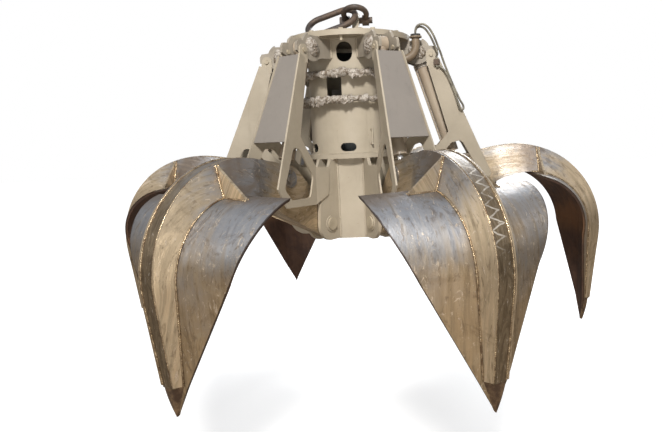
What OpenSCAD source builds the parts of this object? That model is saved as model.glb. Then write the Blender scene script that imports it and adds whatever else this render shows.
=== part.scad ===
// Six-tine hydraulic grab, standing open on its tine tips.
// Every tine lies in the plane of its own radius: X runs outward, Y across, Z up.

/* [Overall] */
// Height of the lower hinge pins above the ground while the open grab stands on its tips
hinge_z = 920; // [880:10:960]
// Distance of the lower hinge pins from the centre line
hinge_r = 416; // [410:2:430]
// Horizontal reach from a hinge pin to the tip of its open tine
tip_reach = 1394; // [1360:2:1420]
// Distance of a closed tine's tip from the centre line
tip_meet = 12; // [8:1:20]
// Swing of a tine beyond the photographed opening
overswing = 3; // [0:1:4]

/* [Column] */
// Outer radius of the column tube
column_r = 330; // [320:2:336]
// Wall of the column tube
column_wall = 14; // [10:1:20]
// Outer radius of the top flange
flange_r = 480; // [460:5:500]
// Thickness of the loose top plate
flange_t = 20; // [16:1:24]
// Thickness of the flange ring welded to the column
flange_ring_t = 20; // [16:1:24]
// Bolts round the top flange
flange_bolts_n = 12; // [8:2:16]
// Height of the flange's top face above the hinge pins
flange_rise = 1400; // [1390:2:1420]
// Radius of the ring plate between column and lower housing
ring_plate_r = 372; // [360:2:380]
// Thickness of the ring plate
ring_plate_t = 32; // [24:1:36]
// Height of the ring plate's underside above the hinge pins
ring_plate_rise = 482; // [476:2:490]
// Distance from the centre line to a flat face of the lower housing
housing_flat_r = 300; // [290:2:304]
// Half width of a flat face of the lower housing
housing_flat_half = 97; // [94:1:99]
// Wall of the lower housing
housing_wall = 14; // [10:1:20]
// Depth of the base plate's underside below the hinge pins
base_drop = 130; // [128:1:140]
// Thickness of the base plate
base_t = 22; // [16:1:26]

/* [Windows] */
// Width of the upright round-ended windows near the top
window_w = 116; // [100:2:124]
// Height of the upright round-ended windows
window_h = 146; // [140:2:160]
// Height of their middle below the flange's top face
window_drop = 136; // [130:1:140]
// Width of the level round-ended slots above the ring plate
slot_w = 118; // [100:2:130]
// Height of the level slots
slot_h = 62; // [50:2:66]
// Height of their middle above the ring plate's underside
slot_rise = 84; // [80:1:92]
// Width of the valve window
valve_window_w = 120; // [100:2:130]
// Height of the valve window
valve_window_h = 150; // [130:2:160]
// Height of its middle below the flange's top face
valve_window_drop = 380; // [376:1:384]
// Angle of its middle from the front
valve_window_turn = -16; // [-18:1:-14]

/* [Lugs] */
// Gap between a pair of lower lug plates
lug_gap = 80; // [78:1:84]
// Thickness of a lower lug plate
lug_t = 26; // [22:1:28]
// Radius of the lower lugs round the hinge pin
lug_boss_r = 125; // [120:1:126]
// Radius of the hinge pins
hinge_pin_r = 40; // [34:1:44]
// Gap between a pair of upper lug plates
upper_gap = 116; // [112:1:120]
// Thickness of an upper lug plate
upper_t = 20; // [16:1:22]
// Distance of the cylinders' upper pins from the centre line
upper_pin_reach = 535; // [532:1:540]
// Depth of the cylinders' upper pins below the flange's top face
upper_pin_drop = 120; // [116:1:124]
// Radius of the cylinders' upper pins
upper_pin_r = 28; // [24:1:30]

/* [Guards] */
// Thickness of the guards' side plates
guard_t = 12; // [8:1:14]
// Angle by which the side plates spread outward
guard_splay = 12.5; // [12:0.5:13]
// Slope of the guards' front from upright
guard_slope = 22.8; // [22:0.2:23.6]
// Distance of the guard bolts outward from the upper pins
ear_out = 107; // [105:1:111]
// Depth of the guard bolts below the flange's top face
ear_drop = 152; // [148:1:156]
// Radius of the round guard ears
ear_boss_r = 40; // [36:1:44]
// Thickness of the guards' front covers
cover_t = 8; // [6:1:10]
// Height of the front covers, measured down the slope
cover_len = 640; // [620:5:650]

/* [Cylinders] */
// Outer radius of the cylinder barrels
barrel_r = 47.5; // [45:0.5:49]
// Bore radius of the cylinder barrels
barrel_bore_r = 37.5; // [35:0.5:39]
// Radius of the piston rods
rod_r = 22.5; // [20:0.5:25]
// Distance from the gland's end to the rod's pin when the grab is open
rod_show = 135.6; // [133:0.1:138.6]
// Radius of the gland
gland_r = 54; // [52:1:55]

/* [Tines] */
// Distance of the rod pin outward from the hinge pin
rod_pin_out = 414; // [410:1:418]
// Height of the rod pin above the hinge pin
rod_pin_up = 370; // [366:1:374]
// Radius of the back's curve
back_curve_r = 665; // [655:1:675]
// Radius of the belly's curve
belly_curve_r = 455; // [450:1:460]
// Half width of the beam's back
back_half = 68; // [64:1:72]
// Half width of the beam where the shell starts
belly_half = 130; // [120:1:136]
// Half width of the beam's back at its lower end
back_end_half = 58; // [54:1:62]
// Half width of the beam's belly at its lower end
belly_end_half = 82; // [76:1:88]
// Height of the beam's blunt lower end above the tip
beam_end_rise = 200; // [190:2:210]
// Wall of the beam
beam_wall = 18; // [14:1:20]
// Thickness of the shell plate
shell_t = 18; // [14:1:20]
// Inward fold of the shell beside the beam
shell_fold = 21; // [16:1:24]
// Gap kept to the neighbouring tine when the grab is closed
sector_gap = 8; // [6:1:12]

/* [Lifting gear] */
// Thickness of the lifting lug
lift_lug_t = 50; // [44:2:54]
// Height of the lug's hole above the flange
lift_hole_rise = 143; // [136:1:150]
// Radius of the shackle's pin
shackle_pin_r = 24; // [20:1:26]
// Radius of the shackle's round bar
shackle_bar_r = 21; // [18:1:22]
// Radius of the long link's round bar
link_bar_r = 23; // [20:1:24]
// Outer length of the long link
link_len = 432; // [420:4:440]
// Outer width of the long link
link_w = 250; // [240:5:260]

/* [Pipes] */
// Radius of the ring mains
main_bend_r = 392; // [388:1:396]
// Radius of the ring mains' pipe
main_pipe_r = 27; // [24:1:28]
// Radius of the cable elbow's pipe
elbow_r = 30; // [26:1:32]
// Bend radius of the cable elbow
elbow_bend_r = 100; // [96:1:104]
// Radius of the supply cables
cable_r = 8; // [7:0.5:9]

/* [Hidden] */

$fn = 64;
tines = 6;
sector = 360 / tines;
// Overrun of every cut past the face that it opens
cut = 2;
// Gap at which two rigid pieces of one body seat on each other
seat = 0.3;
// Radial running clearance of pins, rods and bushes
running = 0.05;

// Colours
frame_paint = [0.72, 0.67, 0.57];
cover_paint = [0.68, 0.66, 0.62];
bare_steel = [0.60, 0.55, 0.46];
shell_steel = [0.56, 0.56, 0.58];
dark_steel = [0.30, 0.26, 0.23];
bright_steel = [0.75, 0.75, 0.76];
rubber_black = [0.10, 0.10, 0.10];
foil = [0.72, 0.72, 0.72];
sheath_grey = [0.52, 0.49, 0.40];

// Heights of the body
flange_top_z = hinge_z + flange_rise;
flange_under_z = flange_top_z - flange_t - flange_ring_t;
ring_plate_z = hinge_z + ring_plate_rise;
ring_plate_top_z = ring_plate_z + ring_plate_t;
base_z = hinge_z - base_drop;
upper_pin_z = flange_top_z - upper_pin_drop;
ear_z = flange_top_z - ear_drop;

// Distance of the guard bolts from the centre line
ear_r = upper_pin_reach + ear_out;

// Half widths across a tine's plane
lug_in = lug_gap / 2;
lug_out = lug_in + lug_t;
upper_in = upper_gap / 2;
upper_out = upper_in + upper_t;
root_play = 3;
tube_play = 2;
root_half = lug_in - root_play;
tube_half = lug_in - tube_play;

function mix(a, b, t) = a + (b - a) * t;
function shift(list, d) = [for (p = list) p + d];
function polar(r, a) = [r * cos(a), r * sin(a)];

// A closed solid through rings of points, each ring a flat outline of equal count.
// caps lists the convex pieces that close a ring; without it the whole outline is one.
module loft(rings, caps = []) {
    n = len(rings[0]);
    m = len(rings);
    ends = len(caps) > 0 ? caps : [[for (i = [0 : n - 1]) i]];
    polyhedron(
        points = [for (ring = rings) each ring],
        faces = [
            each ends,
            for (j = [0 : m - 2], i = [0 : n - 1])
                let (a = j * n + i, b = j * n + (i + 1) % n, c = b + n, d = a + n)
                each [[a, d, c], [a, c, b]],
            for (e = ends) [for (i = [len(e) - 1 : -1 : 0]) (m - 1) * n + e[i]]
        ]
    );
}

// Each tine, lug pair, guard and cylinder repeats once a sector
module each_sector() {
    for (k = [0 : tines - 1]) rotate([0, 0, sector * k]) children();
}
module in_sector(k) {
    rotate([0, 0, sector * (k - 1)]) children();
}
// A plate outlined in X and Z, its faces at y0 and y1
module upright(y0, y1) {
    translate([0, y1, 0]) rotate([90, 0, 0]) linear_extrude(y1 - y0) children();
}
// A round bar across the tine's plane at [x, z]
module crossbar(p, r, y0, y1) {
    translate([p[0], y1, p[1]]) rotate([90, 0, 0]) cylinder(r = r, h = y1 - y0);
}
module both_sides() {
    children();
    mirror([0, 1, 0]) children();
}
// A round-ended slot outline, w wide and h high
module obround(w, h) {
    r = min(w, h) / 2;
    for (s = [-1, 1]) translate([s * (w / 2 - r), s * (h / 2 - r)]) circle(r = r);
    if (w > h) square([w - 2 * r, h], center = true);
    if (h > w) square([w, h - 2 * r], center = true);
}
// A cut through the column's wall at an angle and height
module wall_cut(turn, z, depth_r) {
    rotate([0, 0, turn - 90]) translate([0, 0, z])
        rotate([90, 0, 90]) translate([0, 0, depth_r / 2]) linear_extrude(depth_r) children();
}

/* column and flange */
// Radius of the flange's bolt circle
bolt_edge = 34;
bolt_circle_r = flange_r - bolt_edge;
bolt_r = 11;
bolt_play = 1;
bolt_hole_r = bolt_r + bolt_play;
bolt_head_r = 18;
bolt_head_h = 13;
bolt_tail = 34;
bolt_turn = 0;

module bolt_places() {
    for (k = [0 : flange_bolts_n - 1])
        rotate([0, 0, k * 360 / flange_bolts_n + bolt_turn]) translate([bolt_circle_r, 0, 0]) children();
}

module top_flange() {
    color(frame_paint) difference() {
        translate([0, 0, flange_top_z - flange_t]) cylinder(r = flange_r, h = flange_t);
        bolt_places() translate([0, 0, flange_top_z - flange_t - cut])
            cylinder(r = bolt_hole_r, h = flange_t + 2 * cut);
    }
}

module flange_bolts() {
    color(frame_paint) bolt_places() {
        translate([0, 0, flange_top_z]) cylinder(r = bolt_head_r, h = bolt_head_h, $fn = 6);
        translate([0, 0, flange_under_z - bolt_tail])
            cylinder(r = bolt_r, h = flange_top_z - flange_under_z + bolt_tail);
        translate([0, 0, flange_under_z - bolt_head_h]) cylinder(r = bolt_head_r, h = bolt_head_h, $fn = 6);
    }
}

// Radius and pipe of the cable elbow's hole in the column
elbow_y = -140;
elbow_drop = 186;
elbow_z = flange_top_z - elbow_drop;
elbow_x = 528;
module column_tube() {
    color(frame_paint) difference() {
        union() {
            translate([0, 0, ring_plate_top_z]) cylinder(r = column_r, h = flange_under_z - ring_plate_top_z);
            translate([0, 0, flange_under_z]) cylinder(r = flange_r, h = flange_ring_t);
        }
        translate([0, 0, ring_plate_top_z - cut])
            cylinder(r = column_r - column_wall,
                h = flange_under_z + flange_ring_t - ring_plate_top_z + 2 * cut);
        bolt_places() translate([0, 0, flange_under_z - cut])
            cylinder(r = bolt_hole_r, h = flange_ring_t + 2 * cut);
        for (turn = [0, 180]) wall_cut(turn, flange_top_z - window_drop, column_r + column_wall)
            obround(window_w, window_h);
        for (k = [0 : tines - 1]) wall_cut(sector * k, ring_plate_z + slot_rise, column_r + column_wall)
            obround(slot_w, slot_h);
        wall_cut(valve_window_turn, flange_top_z - valve_window_drop, column_r + column_wall)
            square([valve_window_w, valve_window_h], center = true);
        translate([0, elbow_y, elbow_z]) rotate([0, 90, 0])
            cylinder(r = elbow_r + seat, h = column_r + column_wall);
    }
}

// The cover over the column's service opening, curved round its front
door_t = 8;
door_from = -28;
door_to = 36;
front = -90;
door_rise = 6;
door_drop = 540;
door_low_z = ring_plate_top_z + door_rise;
door_high_z = flange_top_z - door_drop;
handle_r = 7;
handle_len = 120;
handle_reach = 34;
handle_turn = 30;

module door_plate() {
    span = door_to - door_from;
    color(frame_paint) {
        difference() {
            rotate([0, 0, front + door_from]) translate([0, 0, door_low_z])
                rotate_extrude(angle = span) translate([column_r + seat, 0])
                    square([door_t, door_high_z - door_low_z]);
            wall_cut(0, ring_plate_z + slot_rise, column_r + column_wall) obround(slot_w, slot_h);
        }
        rotate([0, 0, front + handle_turn]) translate([column_r + seat, 0, door_low_z + handle_len / 2]) {
            for (z = [handle_r, handle_len - handle_r]) translate([door_t / 2, 0, z]) rotate([0, 90, 0])
                cylinder(r = handle_r, h = handle_reach - door_t / 2);
            translate([handle_reach, 0, 0]) cylinder(r = handle_r, h = handle_len);
        }
    }
}

module ring_plate() {
    color(frame_paint) translate([0, 0, ring_plate_z]) difference() {
        cylinder(r = ring_plate_r, h = ring_plate_t);
        translate([0, 0, -cut]) cylinder(r = coupling_hole_r, h = ring_plate_t + 2 * cut);
    }
}

// Corners of the lower housing: six wide faces between the lugs and six narrow ones behind them
housing_corner_r = norm([housing_flat_r, housing_flat_half]);
housing_corner_a = atan2(housing_flat_half, housing_flat_r);
housing_narrow_r = housing_corner_r * cos(sector / 2 - housing_corner_a);

module housing_outline(inset) {
    k = (housing_flat_r - inset) / housing_flat_r;
    polygon([for (i = [0 : tines - 1], s = [-1, 1])
        polar(housing_corner_r * k, sector * (i + 0.5) + s * housing_corner_a)]);
}

module lower_housing() {
    color(frame_paint) translate([0, 0, base_z + base_t]) linear_extrude(ring_plate_z - base_z - base_t)
        difference() {
            housing_outline(0);
            housing_outline(housing_wall);
        }
}

module base_plate() {
    color(frame_paint) translate([0, 0, base_z]) linear_extrude(base_t) housing_outline(0);
}

/* lugs */
lug_top_out = 78;
lug_shoulder_out = 114;
lug_shoulder_up = 154;
lug_ring_r = 62;
lug_ring_t = 8;

module lower_lugs() {
    inner = housing_narrow_r + seat;
    color(frame_paint) each_sector() both_sides() difference() {
        union() {
            upright(lug_in, lug_out) {
                polygon([
                    [inner, ring_plate_z - seat],
                    [housing_narrow_r + lug_top_out, ring_plate_z - seat],
                    [hinge_r + lug_shoulder_out, hinge_z + lug_shoulder_up],
                    [hinge_r + lug_boss_r, hinge_z],
                    [hinge_r, hinge_z - lug_boss_r],
                    [inner, hinge_z - lug_boss_r]
                ]);
                translate([hinge_r, hinge_z]) circle(r = lug_boss_r);
            }
            crossbar([hinge_r, hinge_z], lug_ring_r, lug_out - cut, lug_out + lug_ring_t);
        }
        crossbar([hinge_r, hinge_z], hinge_pin_r + running, lug_in - cut, lug_out + lug_ring_t + cut);
        upright(0, lug_out + cut) translate([0, base_z]) square([inner, ring_plate_z - base_z]);
    }
}

pin_end = 10;
pin_chamfer = 4;
keeper_w = 30;
keeper_h = 84;
keeper_t = 8;

module hinge_pins() {
    half = lug_out + lug_ring_t + pin_end;
    color(bright_steel) each_sector() {
        crossbar([hinge_r, hinge_z], hinge_pin_r, -half, half);
        both_sides() crossbar([hinge_r, hinge_z], hinge_pin_r + keeper_t, lug_out + lug_ring_t + seat,
            lug_out + lug_ring_t + pin_end);
    }
}

upper_rim = 4;
upper_top_r = flange_r - upper_rim;
upper_step_in = 110;
upper_step_drop = 40;
upper_end_reach = 56;
upper_end_r = ear_r + upper_end_reach;
upper_corner_in = 16;
upper_corner_drop = 50;
upper_end_drop = 74;
upper_end_fall = 6;
upper_toe_in = 24;
upper_toe_drop = 44;
upper_root_drop = 64;
upper_belly_drop = 70;
upper_boss_r = 100;

module upper_lugs() {
    color(frame_paint) each_sector() both_sides() difference() {
        upright(upper_in, upper_out) {
            polygon([
                [column_r - column_wall, flange_under_z - seat],
                [upper_top_r, flange_under_z - seat],
                [upper_top_r + upper_step_in, flange_under_z - upper_step_drop],
                [upper_end_r - upper_corner_in, flange_under_z - upper_corner_drop],
                [upper_end_r, flange_under_z - upper_end_drop],
                [upper_end_r, ear_z - upper_end_fall],
                [ear_r - upper_toe_in, ear_z - upper_toe_drop],
                [upper_pin_reach, upper_pin_z - upper_boss_r],
                [upper_pin_reach - upper_boss_r, upper_pin_z - upper_belly_drop],
                [column_r - column_wall, upper_pin_z - upper_root_drop]
            ]);
            translate([upper_pin_reach, upper_pin_z]) circle(r = upper_boss_r);
        }
        crossbar([upper_pin_reach, upper_pin_z], upper_pin_r + running, upper_in - cut, upper_out + cut);
        crossbar([ear_r, ear_z], guard_bolt_r + seat, upper_in - cut, upper_out + cut);
        cylinder(r = column_r + seat, h = flange_top_z);
        translate([0, 0, flange_under_z]) cylinder(r = flange_r + upper_boss_r, h = flange_t);
    }
}

upper_pin_head = 12;

module cylinder_pins() {
    half = upper_out + upper_pin_head;
    color(bright_steel) each_sector() {
        crossbar([upper_pin_reach, upper_pin_z], upper_pin_r, -half, half);
        both_sides() crossbar([upper_pin_reach, upper_pin_z], upper_pin_r + pin_end, upper_out + seat, half);
    }
}

/* guards */
fold_out = 164;
fold_r = hinge_r + fold_out;
fold_half = lug_out + seat;
splay_rate = tan(guard_splay);
slope_rate = tan(guard_slope);
guard_front_out = 60;
guard_front_drop = 28;
guard_front_r = ear_r + guard_front_out;
guard_front_z = ear_z - guard_front_drop;
guard_bolt_r = 10;
cover_inset = 6;

function guard_half(r) = fold_half + (r - fold_r) * splay_rate;
function front_r(z) = guard_front_r + (guard_front_z - z) * slope_rate;

// A point of a side plate, given at its radius and height
function plate_point(r, z) = [(r - fold_r) / cos(guard_splay), z];

guard_top_in = 32;
guard_top_drop = 20;
guard_nose_out = 8;
inner_low_out = 118;
inner_low_rise = 630;
inner_low_cut = 15;
inner_low_lift = 26;
leg_top_drop = 46;
leg_foot_rise = 164;
leg_back = 30;
leg_back_rise = 60;
leg_top_back = 4;
leg_top_fall = 10;
foot_low_rise = 188;
foot_corner_rise = 322;
foot_low_out = 569;
arch_r = 38;
arch_out = 424;
arch_rise = 542;
window_in = 40;
hook_out = 10;
hook_drop = 40;
hook_in = 6;
hook_fall = 60;
guard_inner_top_r = ear_r - guard_top_in;
guard_inner_low_r = ear_r + inner_low_out;
guard_inner_low_z = hinge_z + inner_low_rise;
leg_top_z = ring_plate_z - leg_top_drop;
leg_foot_z = hinge_z + leg_foot_rise;
foot_low_z = hinge_z + foot_low_rise;
foot_corner_z = hinge_z + foot_corner_rise;
foot_low_r = hinge_r + foot_low_out;
arch_x = hinge_r + arch_out;
arch_z = hinge_z + arch_rise;
outer_leg = 84;
strip_h = 62;
window_in_r = fold_r + window_in;

// A convex outline with round corners, its corner centres given counterclockwise
module rounded(centres, r) {
    n = len(centres);
    polygon([for (i = [0 : n - 1])
        let (a = centres[i], b = centres[(i + 1) % n], u = (b - a) / norm(b - a))
        each [a + r * [u[1], -u[0]], b + r * [u[1], -u[0]]]]);
    for (c = centres) translate(c) circle(r = r);
}

module guard_outline() {
    difference() {
        polygon([
            plate_point(guard_inner_top_r, ear_z - ear_boss_r - guard_top_drop),
            plate_point(ear_r + guard_nose_out, ear_z - ear_boss_r - guard_nose_out),
            plate_point(guard_front_r, guard_front_z),
            plate_point(front_r(foot_corner_z), foot_corner_z),
            plate_point(foot_low_r, foot_low_z),
            plate_point(fold_r - guard_t, leg_foot_z),
            plate_point(fold_r - guard_t, leg_top_z),
            plate_point(guard_inner_low_r - inner_low_cut, guard_inner_low_z),
            plate_point(guard_inner_low_r, guard_inner_low_z + inner_low_lift)
        ]);
        rounded([
            plate_point(arch_x, arch_z),
            plate_point(arch_x - arch_r, arch_z - arch_r / 4),
            plate_point(window_in_r + arch_r, leg_top_z - 2 * arch_r),
            plate_point(window_in_r + 2 * arch_r, leg_foot_z + strip_h + arch_r),
            plate_point(foot_low_r - outer_leg, foot_low_z + strip_h + arch_r / 2),
            plate_point(front_r(foot_corner_z) - outer_leg - arch_r, foot_corner_z)
        ], arch_r);
    }
}

module guard_plates() {
    color(frame_paint) each_sector() both_sides() difference() {
        union() {
            translate([fold_r, fold_half, 0]) rotate([0, 0, guard_splay]) rotate([90, 0, 0])
                translate([0, 0, -guard_t]) linear_extrude(guard_t) guard_outline();
            upright(fold_half, fold_half + guard_t) polygon([
                [hinge_r + leg_back, leg_foot_z + leg_back_rise],
                [fold_r + guard_t, leg_foot_z],
                [fold_r + guard_t, leg_top_z],
                [hinge_r + leg_top_back, leg_top_z - leg_top_fall]
            ]);
            crossbar([ear_r, ear_z], ear_boss_r, upper_out + seat, upper_out + seat + guard_t);
            upright(upper_out + seat, upper_out + seat + guard_t) polygon([
                [ear_r - ear_boss_r, ear_z],
                [ear_r + ear_boss_r, ear_z],
                [ear_r + ear_boss_r + hook_out, guard_front_z - hook_drop],
                [ear_r - ear_boss_r + hook_in, guard_front_z - hook_fall]
            ]);
        }
        crossbar([ear_r, ear_z], guard_bolt_r + seat, upper_out - cut, upper_out + 3 * guard_t);
        upright(0, upper_out + seat) translate([0, ear_z - ear_boss_r]) square([upper_end_r, upper_boss_r]);
    }
}

module guard_covers() {
    inner_r = guard_front_r - cover_inset - cover_t * cos(guard_slope);
    top_half = guard_half(inner_r) - 2 * seat;
    low_half = top_half + cover_len * sin(guard_slope) * splay_rate;
    color(cover_paint) each_sector()
        translate([guard_front_r - cover_inset, 0, guard_front_z - cover_inset])
            rotate([0, 90 - guard_slope, 0])
            translate([0, 0, -cover_t]) linear_extrude(cover_t) polygon([
                [0, -top_half], [cover_len, -low_half], [cover_len, low_half], [0, top_half]
            ]);
}

guard_bolt_head_r = 17;
guard_bolt_head_h = 11;

module guard_bolts() {
    color(frame_paint) each_sector() both_sides() {
        crossbar([ear_r, ear_z], guard_bolt_r, upper_in - guard_bolt_head_h, upper_out + guard_t + seat);
        translate([ear_r, upper_out + guard_t + 2 * seat + guard_bolt_head_h, ear_z]) rotate([90, 0, 0])
            cylinder(r = guard_bolt_head_r, h = guard_bolt_head_h, $fn = 6);
        translate([ear_r, upper_in - seat, ear_z]) rotate([90, 0, 0])
            cylinder(r = guard_bolt_head_r, h = guard_bolt_head_h, $fn = 6);
    }
}

/* linkage */
upper_pin = [upper_pin_reach, upper_pin_z];
hinge = [hinge_r, hinge_z];
rod_pin = hinge + [rod_pin_out, rod_pin_up];
tip_len = norm([tip_reach, hinge_z]);
open_a = atan2(hinge_z, tip_reach);
closed_a = 180 - acos((hinge_r - tip_meet) / tip_len);
swing = closed_a - open_a;

// Where a point of the open tine comes to when the grab is closed
function closed(p) = hinge + [
    (p[0] - hinge_r) * cos(swing) + (p[1] - hinge_z) * sin(swing),
    -(p[0] - hinge_r) * sin(swing) + (p[1] - hinge_z) * cos(swing)
];
stroke_open = norm(rod_pin - upper_pin);
barrel_len = stroke_open - rod_show;
stroke_closed = norm(closed(rod_pin) - upper_pin);
lean_open = atan2(rod_pin[0] - upper_pin[0], upper_pin[1] - rod_pin[1]);
lean_closed = atan2(closed(rod_pin)[0] - upper_pin[0], upper_pin[1] - closed(rod_pin)[1]);
extension = (stroke_closed - stroke_open) / swing;
retraction = extension * overswing;

eye_r = 60;
eye_half = 35;
top_eye_half = 50;
top_eye_r = 60;
barrel_top = 55;
barrel_floor = 20;
gland_len = 42;
gland_grip = 30;
piston_len = 34;
piston_rest = 4;
feed_r = 7;
port_r = 16;

// Moves a cylinder drawn hanging straight down from the origin to its place
module on_cylinder_axis() {
    translate([upper_pin[0], 0, upper_pin[1]]) rotate([0, -lean_open, 0]) children();
}
module down(d) {
    translate([0, 0, -d]) children();
}

module cylinder_barrel(k) {
    color(frame_paint) in_sector(k) on_cylinder_axis() difference() {
        union() {
            crossbar([0, 0], top_eye_r, -top_eye_half, top_eye_half);
            down(barrel_len - gland_grip) cylinder(r = barrel_r, h = barrel_len - gland_grip);
            down(barrel_len) cylinder(r = gland_r, h = gland_len + gland_grip);
            for (d = [barrel_top + 2 * barrel_floor + port_r, barrel_len - gland_len - gland_grip - port_r])
                translate([-barrel_r - port_r, -port_r, -d - port_r])
                    cube([port_r + barrel_r - barrel_bore_r - cut, 2 * port_r, 2 * port_r]);
            translate([-barrel_r - port_r / 2, 0, -barrel_len + gland_len + gland_grip + port_r])
                cylinder(r = feed_r, h = barrel_len - gland_len - gland_grip - barrel_top - 2 * barrel_floor
                    - 2 * port_r);
        }
        crossbar([0, 0], upper_pin_r + running, -top_eye_half - cut, top_eye_half + cut);
        down(barrel_len - gland_len) cylinder(r = barrel_bore_r,
            h = barrel_len - gland_len - barrel_top - barrel_floor);
        down(barrel_len + cut) cylinder(r = rod_r + running, h = gland_len + 2 * cut);
    }
}

module cylinder_rod(k) {
    piston_top = barrel_top + barrel_floor + piston_rest + retraction;
    color(bright_steel) in_sector(k) on_cylinder_axis() {
        down(stroke_open) cylinder(r = rod_r, h = stroke_open - piston_top);
        down(piston_top + piston_len) cylinder(r = barrel_bore_r - seat, h = piston_len);
        translate([0, 0, -stroke_open]) crossbar([0, 0], eye_r, -eye_half, eye_half);
    }
}

/* tines */
back_centre_from = tip_reach * [0.6105, -0.0925];
belly_centre_from = tip_reach * [0.6901, -0.099];
back_centre = hinge + back_centre_from;
belly_centre = hinge + belly_centre_from;
back_top = back_centre + [0, back_curve_r];
back_last_a = -7;
belly_first_a = 96;
belly_last_a = -3;
curve_steps = 12;
straight_steps = 4;
tip = [hinge_r + tip_reach, 0];
back_bend = back_centre + polar(back_curve_r, back_last_a);
belly_bend = belly_centre + polar(belly_curve_r, belly_last_a);
back_drop = (back_bend[1] - beam_end_rise);
back_end = back_bend + [back_drop * tan(back_last_a), -back_drop];
belly_end_share = (belly_bend[1] - beam_end_rise) / belly_bend[1];
belly_end = mix(belly_bend, tip, belly_end_share);

// The arm's upper and lower edge from the hinge to the crown, as shares of the way to the curves
arm_back_shares = [[-0.02, 0.19], [0.12, 0.39], [0.287, 0.638], [0.416, 0.825], [0.575, 0.892],
    [0.731, 0.944], [0.862, 0.981], [1, 1]];
arm_belly_shares = [[0.064, -0.265], [0.191, -0.076], [0.316, 0.11], [0.451, 0.315], [0.566, 0.498],
    [0.695, 0.71], [0.794, 0.883], [0.95, 0.992]];
// Growth of the beam's half widths from the hinge to the crown
back_half_shares = [0, 0, 0.61, 0.8, 0.87, 1, 1, 1];
belly_half_shares = [0, 0, 0.22, 0.31, 0.42, 0.68, 0.95, 1];

arm_back_size = back_top - hinge;
arm_belly_size = belly_centre + [0, belly_curve_r] - hinge;
arm_steps = len(arm_back_shares);

// Half width of the belly where its curve ends
belly_mid_share = 0.3;
belly_mid_half = mix(belly_half, belly_end_half, belly_mid_share);

function scaled(size, share) = [size[0] * share[0], size[1] * share[1]];
back_line = concat(
    [for (s = arm_back_shares) hinge + scaled(arm_back_size, s)],
    [for (i = [1 : curve_steps]) back_centre + polar(back_curve_r, mix(90, back_last_a, i / curve_steps))],
    [for (i = [1 : straight_steps]) mix(back_bend, back_end, i / straight_steps)]
);
belly_line = concat(
    [for (s = arm_belly_shares) hinge + scaled(arm_belly_size, s)],
    [for (i = [1 : curve_steps]) belly_centre
        + polar(belly_curve_r, mix(belly_first_a, belly_last_a, i / curve_steps))],
    [for (i = [1 : straight_steps]) mix(belly_bend, belly_end, i / straight_steps)]
);
back_halves = concat(
    [for (s = back_half_shares) mix(root_half, back_half, s)],
    [for (i = [1 : curve_steps]) back_half],
    [for (i = [1 : straight_steps]) mix(back_half, back_end_half, i / straight_steps)]
);
belly_halves = concat(
    [for (s = belly_half_shares) mix(root_half, belly_half, s)],
    [for (i = [1 : curve_steps]) mix(belly_half, belly_mid_half, pow(i / curve_steps, 4))],
    [for (i = [1 : straight_steps]) mix(belly_mid_half, belly_end_half, i / straight_steps)]
);
stations = len(back_line);

// A point at station i, on the line from the belly to the back, d from the belly and y across
function beam_point(i, d, y) =
    let (b = belly_line[i], u = (back_line[i] - b) / norm(back_line[i] - b))
    [b[0] + u[0] * d, y, b[1] + u[1] * d];
function beam_depth(i) = norm(back_line[i] - belly_line[i]);
function beam_half(i, d) = mix(belly_halves[i], back_halves[i], d / beam_depth(i));

function channel_ring(i) = let (d = beam_depth(i)) [
    beam_point(i, d, -back_halves[i]),
    beam_point(i, 0, -belly_halves[i]),
    beam_point(i, 0, belly_halves[i]),
    beam_point(i, d, back_halves[i]),
    beam_point(i, d, back_halves[i] - beam_wall),
    beam_point(i, beam_wall, beam_half(i, beam_wall) - beam_wall),
    beam_point(i, beam_wall, -beam_half(i, beam_wall) + beam_wall),
    beam_point(i, d, -back_halves[i] + beam_wall)
];
channel_caps = [[0, 1, 6, 7], [1, 2, 5, 6], [2, 3, 4, 5]];
// The back plate lies a little below the edges of the side walls
back_recess = 4;
back_bite = 4;
back_from = 4;
// Share of the last beam station at which the end plug starts
plug_share = 0.75;
function back_ring(i) =
    let (d = beam_depth(i) - back_recess, e = d - beam_wall)
    let (h = beam_half(i, d) - beam_wall + back_bite, g = beam_half(i, e) - beam_wall + back_bite)
    [beam_point(i, d, -h), beam_point(i, e, -g), beam_point(i, e, g), beam_point(i, d, h)];

hinge_tube_r = 100;
rod_boss_r = 62;
rod_cap_r = 34;
rod_cap_t = 10;

module tine_beam(k) {
    last = stations - 1;
    ear_half = mix(root_half, back_half, back_half_shares[3]);
    color(bare_steel) in_sector(k) {
        difference() {
            union() {
                loft([for (i = [0 : last]) channel_ring(i)], channel_caps);
                loft([for (i = [back_from : last]) back_ring(i)]);
                loft([for (t = [1, plug_share]) [
                    for (c = [[0, -1], [1, -1], [1, 1], [0, 1]])
                        mix(end_corner(last - 1, c), end_corner(last, c), t)]]);
                crossbar(hinge, hinge_tube_r, -tube_half, tube_half);
                both_sides() {
                    crossbar(rod_pin, rod_boss_r, ear_half - beam_wall + cut, ear_half + pin_end);
                    crossbar(rod_pin, rod_cap_r, ear_half, ear_half + pin_end + rod_cap_t);
                }
            }
            crossbar(hinge, hinge_pin_r + running, -tube_half - cut, tube_half + cut);
        }
        both_sides() gusset();
    }
}
// A corner of the plug that closes the beam's lower end: c is [0 belly or 1 back, side]
function end_corner(i, c) =
    let (d = c[0] == 0 ? cut : beam_depth(i) - back_recess - cut)
    beam_point(i, d, c[1] * (beam_half(i, d) - cut));

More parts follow.
